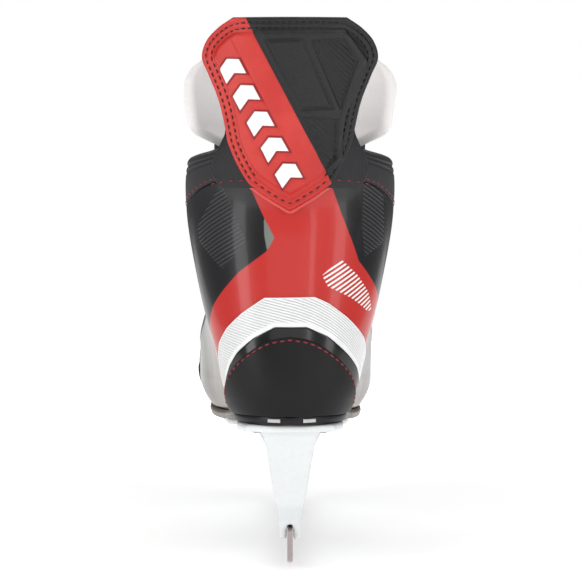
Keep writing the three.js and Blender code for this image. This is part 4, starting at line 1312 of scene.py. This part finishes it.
@dataclass
class TendonGuard:
    """The tall moulded guard behind the ankle, one skin over the hinge, with its shoulders, piping and stitches."""

    half: Line = Line(
        ((193.7, 0.6), (197, 6), (201, 12.5), (205, 18), (208, 22), (218, 28), (230, 33), (236, 34),
            (252, 37.6),
         (266, 43), (275, 46.5), (284, 44), (291, 37.5), (296, 30))
    )
    back: Line = Line(((226, 7.5), (244, 3.2), (266, -1.5), (296, -8)))
    curve: float = 0.0096
    thickness: float = 3.8
    low: float = 193.7
    top: float = 296.0
    stripe_at: tuple[float, float] = (0.3, 250.5)
    stripe_slope: float = -0.505
    crease: float = 10.5
    ridge: Sequence[tuple[float, float]] = (
        (-16, 289.6), (27.7, 290.6), (40.2, 273.2), (38.8, 266.3), (28.9, 245.6), (27.4, 236.7), (27, 221),
        (20, 212),
    )
    plate: Sequence[tuple[float, float]] = ((-12.9, 284.7), (6.1, 285.1), (22.4, 248.5), (5.7, 247.6))
    hatched: Sequence[Sequence[tuple[float, float]]] = (
        ((10.5, 284.2), (26.7, 285.3), (34.5, 273.6), (25.7, 248.0)),
        ((6.2, 244.1), (24.4, 242.6), (24, 222), (18.6, 216)),
    )
    rows: tuple[float, float] = (2.7, 5.6)

    def rear_h(self, x: Array, z: Array) -> tuple[Array, Array]:
        """Returns h of the boot's back at each x and z, and the length of skin for each millimetre across."""
        h = SKIN.back(z) + 10.0
        radius = SKIN.back_round(z)
        for _ in range(6):
            base = SKIN.low_width(h) + (SKIN.high_width(h) - SKIN.low_width(h)) * SKIN.widening(z)
            share = np.clip(np.abs(x) / base, 0, 0.97)
            inner = np.sqrt(1 - share**2)
            h = SKIN.back(z) + radius * (1 - inner)
        slope = radius / base * share / inner
        return h, np.sqrt(1 + slope**2)

    def middle(self, x: Array, z: Array) -> Array:
        """Returns the guard's middle surface at each x and z."""
        on_boot, stretch = self.rear_h(x, z)
        laid = on_boot - (0.3 + self.thickness / 2) * np.minimum(stretch, 1.8)
        free = self.back(z) + self.curve * x * x - 1.4
        rising = smooth_step(z, 219, 236)
        return np.stack([x, HEEL_Y + laid + (free - laid) * rising, z], -1)

    def surface(self, flat: Array, lift: float) -> Array:
        """Returns points a distance outside the guard's outer face at flat (x, z)."""
        x, z = flat[:, 0], flat[:, 1]
        return self.middle(x, z) + self.outward(self.middle(x, z)) * (self.thickness / 2 + lift)

    def outward(self, points: Array) -> Array:
        """Returns the outward directions of the guard near points of it."""
        x, z = points[:, 0], points[:, 2]
        across = self.middle(x + 0.4, z) - self.middle(x - 0.4, z)
        up = self.middle(x, z + 0.4) - self.middle(x, z - 0.4)
        return unit(np.cross(across, up))

    def place(self, u: Array, v: Array) -> Array:
        """Returns points of the guard's middle."""
        z = self.low + (self.top - self.low) * v
        return self.middle((u * 2 - 1) * self.half(z), z)

    def flat(self, u: Array, v: Array) -> tuple[Array, Array]:
        """Returns x and z."""
        z = self.low + (self.top - self.low) * v
        return (u * 2 - 1) * self.half(z), z

    def outline(self, inset: float, low: float) -> Array:
        """Returns the outline from its left foot over the top to its right foot, drawn in by inset."""
        z = np.linspace(low, self.top - 1.2, 90)
        right = np.stack([self.half(z), z], -1)
        x = np.linspace(28, -28, 40)
        top = np.stack([x, np.full(40, self.top)], -1)
        left = np.stack([-self.half(z[::-1]), z[::-1]], -1)
        path = np.concatenate([right, top, left])
        tangent = unit(np.gradient(path, axis=0))
        path = path + np.stack([-tangent[:, 1], tangent[:, 0]], -1) * inset
        for _ in range(12 if inset else 0):
            path[1:-1] = (path[:-2] + path[1:-1] * 2 + path[2:]) / 4
        return path

    def stripe(self, x: Array, z: Array) -> Array:
        """Returns the distance inside the red stripe, measured square to its edge."""
        edge = self.stripe_at[0] + self.stripe_slope * (z - self.stripe_at[1])
        return (edge - x) / math.hypot(1, self.stripe_slope)

    def marks(self, u: Array, v: Array, at: Array) -> dict[str, Array]:
        """Returns the stripe and the chevrons on it as signed distances."""
        del at
        x, z = self.flat(u, v)
        inside = self.stripe(x, z)
        length = math.hypot(1, self.stripe_slope)
        run = ((x - self.stripe_at[0]) * -self.stripe_slope - (z - self.stripe_at[1])) / length
        middle = inside - 17.8
        chevrons = np.full(np.shape(x), -50.0)
        for start in (-36.0, -20.5, -5.0, 10.5, 26.0):
            bent = run - start - 0.55 * np.abs(middle + 0.5)
            block = np.minimum(np.minimum(bent, 8.2 - bent) * 0.88, 5.8 - np.abs(middle))
            chevrons = np.maximum(chevrons, block)
        return {"stripe": inside, "mark": chevrons}

    def relief(self, u: Array, v: Array) -> Array:
        """Returns the height of the border, the stripe, its marks and the panels of the black side."""
        x, z = self.flat(u, v)
        edge = polygon_distance(x, z, [tuple(p) for p in self.outline(0.0, self.low)])
        marks = self.marks(u, v, x)
        height = 0.55 * smooth_step(edge, 7.0, 8.4)
        for row in self.rows:
            height = height - 0.35 * np.exp(-(((edge - row) / 0.7) ** 2))
        inside = marks["stripe"]
        within = smooth_step(edge, 7.2, 9.5)
        rising = np.clip(inside / self.crease, 0, 1)
        height = height + within * smooth_step(inside, -0.3, 0.7) * (0.5 + 0.9 * rising)
        height = height - 0.4 * within * np.exp(-(((inside - self.crease) / 0.6) ** 2))
        height = height + 0.35 * smooth_step(marks["mark"], -0.3,
            0.3) - 0.2 * np.exp(-((marks["mark"] + 1.2) / 0.5) ** 2)
        black = smooth_step(inside, 0.0, -0.8)
        ridge = polygon_distance(x, z, self.ridge)
        height = height + black * (0.9 * smooth_step(ridge, -0.5, 0.5) - 0.35 * smooth_step(ridge, 2.6,
            3.6))
        plate = polygon_distance(x, z, self.plate)
        height = height + black * (0.7 * smooth_step(plate, 0.9, 1.5) - 0.9 * smooth_step(plate, -0.4, 0.3))
        for panel in self.hatched:
            sunk = polygon_distance(x, z, panel)
            rib = 0.5 + 0.5 * np.sin((x * 0.68 + z * 0.73) * 2 * math.pi / 2.1)
            height = height + black * (0.8 * rib * smooth_step(sunk, 0.8, 1.4) - 0.9 * smooth_step(sunk,
                -0.4, 0.3))
        return height

    def blended(self, piece: bpy.types.Object) -> None:
        """Bakes a piece's placement into its mesh."""
        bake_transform(piece)

    def shoulder_place(self, u: Array, v: Array, side: int) -> Array:
        """Returns points of the flare that joins the guard's waist to the collar."""
        z = 205.5 + (241 - 205.5) * v
        outer = Line(((205, 36), (210, 40.5), (216, 41.5), (221, 41), (226, 38.6), (230, 36.6),
            (235, 35), (241, 34.6)))(z)
        inner = np.minimum(self.half(z), 33.5) - 5
        x = inner + (outer - inner) * (u if side > 0 else 1 - u)
        points = self.middle(side * x, z)
        return points + self.outward(points.reshape(-1,
            3)).reshape(points.shape) * (0.2 - 1.2 * smooth_step(z, 226, 236))[..., None]

    def build(self) -> None:
        """Makes the guard, its shoulders, the piping of its point and its stitches."""
        guard = Panel(
            "guard_skin", 190, 200, self.place, self.thickness, rims=(1.7, 1.7, 0.8, 1.7), crowding=0.15,
            relief=self.relief, marks=self.marks,
        ).build()
        dress(guard, MOULDED_PU_GUARD, body="", nodes=("tendon_guard", "tendon_guard_base"))
        self.blended(guard)
        seams = []
        for name, side in SIDES.items():
            shoulder = Panel(
                "guard_shoulder_" + name, 50, 90, lambda u, v,
                side=side: self.shoulder_place(u, v, side), 2.2,
                rims=(0.8, 0.8, 0.8, 0.8),
                relief=lambda u, v: 0.3 * np.sin((u * 3 + v) * 26) * smooth_step(v * (1 - v), 0.06, 0.14),
            ).build()
            dress(shoulder, COATED_NYLON, body="")
            self.blended(shoulder)
            flat = np.array([[40.5, 207.6], [36, 208.6], [31, 209.4], [25.5, 209.8]]) * [side, 1]
            path = self.middle(flat[:, 0], flat[:, 1])
            seams.append((path + self.outward(path) * 1.5, self.outward))
        dress(stitches("shoulder_threads", seams, radius=0.36), RED_THREAD)
        z = np.linspace(208.5, 193.2, 40)
        left = np.stack([-self.half(z) - 0.6, z - 0.6], -1)
        point = np.concatenate([left, left[::-1] * [-1, 1]])
        for _ in range(4):
            point[1:-1] = (point[:-2] + point[1:-1] * 2 + point[2:]) / 4
        path = self.surface(point, -1.9)
        dress(tube("guard_piping", path, self.outward(path), (1.1, 1.1), 12), RED_PIPING)
        low = self.outline(3.0, self.low + 1.5)
        keep = low[low[:, 1] < 209]
        rows = [np.concatenate([keep[keep[:, 0] < 0], keep[keep[:, 0] > 0]])]
        rows += [self.outline(row, 210.0) for row in self.rows]
        paths = [(self.surface(row, -0.02), self.outward) for row in rows]
        threads = stitches("guard_threads", paths, pitch=3.6, length=2.5, radius=0.38)
        dress(threads, BLACK_THREAD, body="")
        self.blended(threads)


@dataclass
class Tongue:
    """The felt tongue, one sheet from the toe to the flap above the collar, with its two moulded plates."""

    half: Line = Line(
        ((131, 33), (215, 36), (224, 38), (230, 46), (235, 53.5), (243, 56.5), (259, 58.5), (269, 56),
            (276, 48),
         (280, 39), (283, 27))
    )
    front: Line = Line(((228, 107), (242, 111.5), (258, 119), (283, 131)))
    curve: float = 0.0088
    low: float = 131.0
    top: float = 283.0
    badge: Line = Line(((239, 24), (248, 31), (264, 38), (272, 34), (277, 26)))

    def middle(self, x: Array, z: Array, offset: float) -> Array:
        """Returns points of the tongue at each x and z, a distance in front of its middle surface."""
        narrow = x * np.minimum(1, 36 / self.half(z))
        laced = SKIN.on_front(np.minimum(z, 240), narrow, offset - TONGUE_GAP - TONGUE_LAYER / 2)
        laced[..., 0] += x - narrow
        laced[..., 1] -= self.curve * (x * x - narrow * narrow)
        free = np.stack([x, HEEL_Y + self.front(z) - 4.25 + offset - self.curve * x * x, z], -1)
        rising = smooth_step(z, 220, 237)[..., None]
        laced[..., 2] = np.where(z > 236, z, laced[..., 2])
        return laced + (free - laced) * rising

    def place(self, u: Array, v: Array) -> Array:
        """Returns points of the felt's middle."""
        z = self.low + (self.top - self.low) * v
        return self.middle((1 - u * 2) * self.half(z), z, 0.0)

    def relief(self, u: Array, v: Array) -> Array:
        """Returns the soft unevenness of the felt."""
        seam = -0.8 * np.exp(-(((np.abs(u * 2 - 1) - 0.84) / 0.025) ** 2)) * smooth_step(v, 0.97, 0.93)
        seam = seam - 0.8 * np.exp(-(((v - 0.955) / 0.007) ** 2)) * smooth_step(np.abs(u * 2 - 1), 0.86,
            0.82)
        return seam + 0.5 * np.sin(u * 17 + 2 * np.sin(v * 9)) * np.sin(v * 31) + 0.35 * np.sin(u * 41 + v * 23)

    def bent(self, piece: bpy.types.Object) -> None:
        """Bakes a piece's placement into its mesh."""
        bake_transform(piece)

    def build(self) -> None:
        """Makes the felt, the badge plate and the lace guard."""
        felt = Panel(
            "felt_tongue", 80, 130, self.place, 8.0, rims=(4.4, 4.4, 3.0, 4.4), crowding=0.6,
            relief=self.relief
        ).build()
        dress(felt, PRESSED_FELT, body="", nodes=("tongue_laced_part", "tongue_flap"))
        self.bent(felt)
        plate = Panel(
            "tongue_plate", 60, 60,
            lambda u, v: self.middle((1 - 2 * u) * self.badge(239.5 + 37 * v), 239.5 + 37 * v, 5.4), 1.7,
            rims=(1.2, 1.2, 1.2, 1.2), relief=self.emboss,
        ).build()
        dress(plate, MOULDED_RUBBER, body="tongue_top", nodes=("tongue_badge",))
        guard = Panel(
            "lace_plate", 30, 100,
            lambda u, v: SKIN.on_front(138 + 70 * v, (1 - 2 * u) * 16.5, -9.6), 1.2,
            rims=(0.8, 0.8, 0.8, 0.8), relief=self.emboss,
        ).build()
        dress(guard, MOULDED_RUBBER, nodes=("lace_guard",))

    def emboss(self, u: Array, v: Array) -> Array:
        """Returns the height of plain chevrons across a plate."""
        bent = (v * 5 - np.abs(u * 2 - 1) * 0.8) % 1
        inner = smooth_step(np.abs(u * 2 - 1), 0.8, 0.72) * smooth_step(np.abs(v * 2 - 1), 0.85, 0.78)
        return 0.5 * inner * (smooth_step(bent, 0.2, 0.3) - smooth_step(bent, 0.6, 0.7))


@dataclass(frozen=True)
class SoleFinish(Finish):
    """Moulded sole whose forefoot edge shows the bare board."""

    edge: str = "#766b61"

    def pattern(self, tree: bpy.types.NodeTree) -> tuple[Socket, Socket, Socket]:
        """Returns the plain finish with the bare edge."""
        tint, rough, height = super().pattern(tree)
        return mixed(tree, attribute(tree, "bare_edge"), tint, self.edge), rough, height


SOLE_COMPOSITE = SoleFinish("sole_composite", "#0f0b10", "#181317", 0.4, grain=0.8, depth=0.01, ior=1.38)


@dataclass
class Sole:
    """The outsole with its inlays, the blade holder, the steel runner, the rivets and the bolts."""

    sole: float = 5.0
    plate: float = 4.0
    runner: float = 3.0
    rocker: Line = Line(
        ((4, 14), (9, 7.5), (18, 3.2), (32, 1.3), (70, 0.25), (112, 0), (176, 0), (220, 0.4),
            (246, 1.8), (264, 5),
         (278, 11.5), (288, 20), (291.5, 28))
    )
    crest: Knots = (
        (286, 29), (270, 28.6), (224, 27.9), (221, 39), (207, 39), (204, 27.5), (62, 25.1), (59, 39),
        (45, 39),
        (42, 24.6), (16, 24.2), (3, 22),
    )
    rivets: Knots = ((27, 18), (82, 17.5), (156, 21), (206, 28), (254, 21))
    rivet: Knots = ((0.02, -1.9), (2.0, -1.7), (3.3, -1.0), (3.8, 0.0), (2.0, 0.1), (2.0, 12.2),
        (3.3, 12.4),
                    (3.0, 13.2), (0.02, 13.6))

    def build(self) -> None:
        """Makes and dresses everything under the boot."""
        slab = Panel(
            "sole_slab", 50, 170, lambda u, v: plan_surface(u, v, 0.8, -self.sole / 2), self.sole,
            rims=(1.3, 1.3, 1.3, 1.3),
            marks=lambda u, v, at: {
                "bare_edge": smooth_step(at[..., 1], HEEL_Y + 112, HEEL_Y + 130)
                * smooth_step(np.abs(u * 2 - 1), 0.8, 0.86)
            },
        ).build()
        dress(slab, SOLE_COMPOSITE, nodes=("outsole",))
        guard = TendonGuard()
        spots = []
        for number, centre in enumerate((-8.6, 10.4)):
            def place(u: Array, v: Array, centre: float = centre) -> Array:
                """Returns points of one inlay on the sole's rear edge."""
                x = centre + (u - 0.5) * 6.8
                h, _ = guard.rear_h(x / 0.86, np.full(np.shape(x), 86.0))
                return np.stack([x, HEEL_Y + h - 1.05, 80.5 + 2.0 * v], -1)
            spots.append(Panel(f"inlay_{number}", 12, 6, place, 0.9, rims=(0.4, 0.4, 0.4, 0.4)).build())
        dress(joined("sole_inlays", spots), GREY_INLAY)
        self.build_holder()
        self.build_runner()
        self.build_rivets()
        for name in ("rear_bolt", "front_bolt", "rear_nut", "front_nut", "insole_board"):
            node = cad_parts[name]
            finish = BOARD_EDGE if name == "insole_board" else PLATED_STEEL
            node.data.materials.clear()
            node.data.materials.append(finish.material())

    def build_holder(self) -> None:
        """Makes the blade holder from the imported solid, remeshed so that its edges are moulded round."""
        bm = bmesh.new()
        bm.from_mesh(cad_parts["blade_holder"].data)
        piece = finish_mesh("holder_moulding", bm, weld=1e-5)
        remesh = piece.modifiers.new("voxels", "REMESH")
        remesh.mode, remesh.voxel_size, remesh.use_smooth_shade = "VOXEL", 1.0 * MM, True
        smooth = piece.modifiers.new("soften", "SMOOTH")
        smooth.factor, smooth.iterations = 0.5, 9
        bake_modifiers(piece)
        dress(piece, GLASS_FILLED_NYLON, nodes=("blade_holder",))

    def build_runner(self) -> None:
        """Makes the steel: its side outline pulled through its thickness, with a small bevel on each edge."""
        h = np.concatenate([np.linspace(4, 32, 24), np.linspace(36, 246, 40), np.linspace(249, 291.5, 26)])
        outline = [(a, float(self.rocker(a))) for a in h] + list(self.crest)
        bm = bmesh.new()
        corners = [bm.verts.new((-self.runner / 2 * MM, (HEEL_Y + a) * MM, z * MM)) for a, z in outline]
        face = bm.faces.new(corners)
        pulled = bmesh.ops.extrude_face_region(bm, geom=[face])
        moved = [v for v in pulled["geom"] if isinstance(v, bmesh.types.BMVert)]
        bmesh.ops.translate(bm, vec=(self.runner * MM, 0, 0), verts=moved)
        rims = [e for e in bm.edges if abs(e.verts[0].co.x - e.verts[1].co.x) < 1e-9]
        bmesh.ops.bevel(
            bm, geom=rims, offset=0.25 * MM, segments=2, profile=0.5, affect="EDGES", material=-1,
            offset_type="OFFSET",
        )
        piece = finish_mesh("runner_steel_blade", bm, weld=1e-7)
        piece.data.polygons.foreach_set("use_smooth", [False] * len(piece.data.polygons))
        dress(piece, GROUND_STEEL, body="runner_set", nodes=("runner",))

    def build_rivets(self) -> None:
        """Makes the ten domed rivets."""
        bm = bmesh.new()
        for h, across in self.rivets:
            for side in SIDES.values():
                x = float(SKIN.axis(h)) + side * across
                low = float(SKIN.sole(h)) - self.sole - 0.3 - self.plate - 0.6
                lathe(bm, self.rivet, facing(np.array([0.0, 0, 1.0]), np.array([x, HEEL_Y + h, low])),
                    steps=20)
        nodes = [f"rivet_{number:02d}" for number in range(1, 11)]
        dress(finish_mesh("rivet_heads", bm, weld=1e-8), PLATED_STEEL, nodes=nodes)


@dataclass
class Studio:
    """A white floor, soft boxes, even white surroundings and the camera behind the heel."""

    camera_place: tuple[float, float, float] = (0.0, -1.640, 0.254)
    pitch: float = 3.9
    lens: float = 175.7
    lamps: Sequence[tuple[str, tuple[float, float, float], tuple[float, float], float]] = (
        ("top_box", (0.0, -0.4, 1.6), (1.6, 1.6), 6.5),
        ("left_box", (-1.1, -0.8, 0.45), (0.35, 1.1), 5.0),
        ("right_box", (1.1, -0.8, 0.45), (0.3, 1.1), 3.6),
        ("rear_box", (0.0, -2.3, 1.0), (2.4, 1.2), 8.0),
        ("rear_strip", (0.95, -2.0, 0.45), (0.22, 1.1), 2.6),
        ("far_box", (0.0, 1.3, 1.7), (1.4, 0.7), 6.0),
    )
    world: tuple[float, float] = (0.36, 0.12)
    paint_glow: tuple[float, float] = (0.4, 1.0)
    floor_half: float = 1.3

    def build_camera(self) -> None:
        """Places the camera."""
        data = bpy.data.cameras.new("camera")
        data.lens, data.sensor_width = self.lens, 36.0
        camera = bpy.data.objects.new("camera", data)
        camera.location = self.camera_place
        camera.rotation_euler = (math.radians(90 - self.pitch), 0, 0)
        bpy.context.scene.collection.objects.link(camera)
        bpy.context.scene.camera = camera

    def build(self) -> None:
        """Makes the floor, the lamps and the even white surroundings."""
        bm = bmesh.new()
        bmesh.ops.create_grid(bm, x_segments=4, y_segments=4, size=self.floor_half)
        floor = finish_mesh("studio_floor", bm, recalculate=False)
        paint = STUDIO_PAINT.material()
        tree = paint.node_tree
        place = add_node(tree, "TexCoord", out=3)
        away = add_node(tree, "VectorMath", {"operation": "LENGTH"}, {0: place}, out=1)
        glow = add_node(
            tree, "MapRange",
            {"From Min": 0.25, "From Max": 0.8, "To Min": self.paint_glow[0], "To Max": self.paint_glow[1]},
            {"Value": away},
        )
        tree.links.new(glow, tree.nodes["Principled BSDF"].inputs["Emission Strength"])
        floor.data.materials.append(paint)
        for name, place, size, power in self.lamps:
            data = bpy.data.lights.new(name, "AREA")
            data.shape, data.size, data.size_y, data.energy = "RECTANGLE", size[0], size[1], power
            lamp = bpy.data.objects.new(name, data)
            lamp.location = place
            aim = Vector((0, 0, 0.16)) - Vector(place)
            lamp.rotation_euler = aim.to_track_quat("-Z", "Y").to_euler()
            bpy.context.scene.collection.objects.link(lamp)
        world = bpy.data.worlds.new("white_room")
        bpy.context.scene.world = world
        world.use_nodes = True
        tree = world.node_tree
        tree.nodes["Background"].inputs["Color"].default_value = colour("#ffffff")
        way = add_node(tree, "SeparateXYZ", links={0: add_node(tree, "TexCoord")}, out=1)
        near, far = self.world
        around = add_node(
            tree, "MapRange", {"From Min": -0.2, "From Max": 0.6, "To Min": near, "To Max": far},
            {"Value": way}
        )
        seen = add_node(tree, "LightPath")
        strength = add_node(tree, "MapRange", {"To Max": 1.0}, {"Value": seen, "To Min": around})
        tree.links.new(strength, tree.nodes["Background"].inputs["Strength"])
        bpy.context.scene.view_settings.view_transform = "Standard"


def main() -> None:
    """Builds the studio and every sub-assembly in order."""
    logging.basicConfig(level=logging.INFO, format="%(name)s: %(message)s")
    studio = Studio()
    studio.build_camera()
    for assembly in (
        Lace(), BootShell(), Collar(), EyeletStrips(), ToeBox(), Heel(), TendonGuard(), Tongue(),
        Sole(), studio,
    ):
        log.info("building %s", type(assembly).__name__)
        assembly.build()


if __name__ == "__main__":
    main()
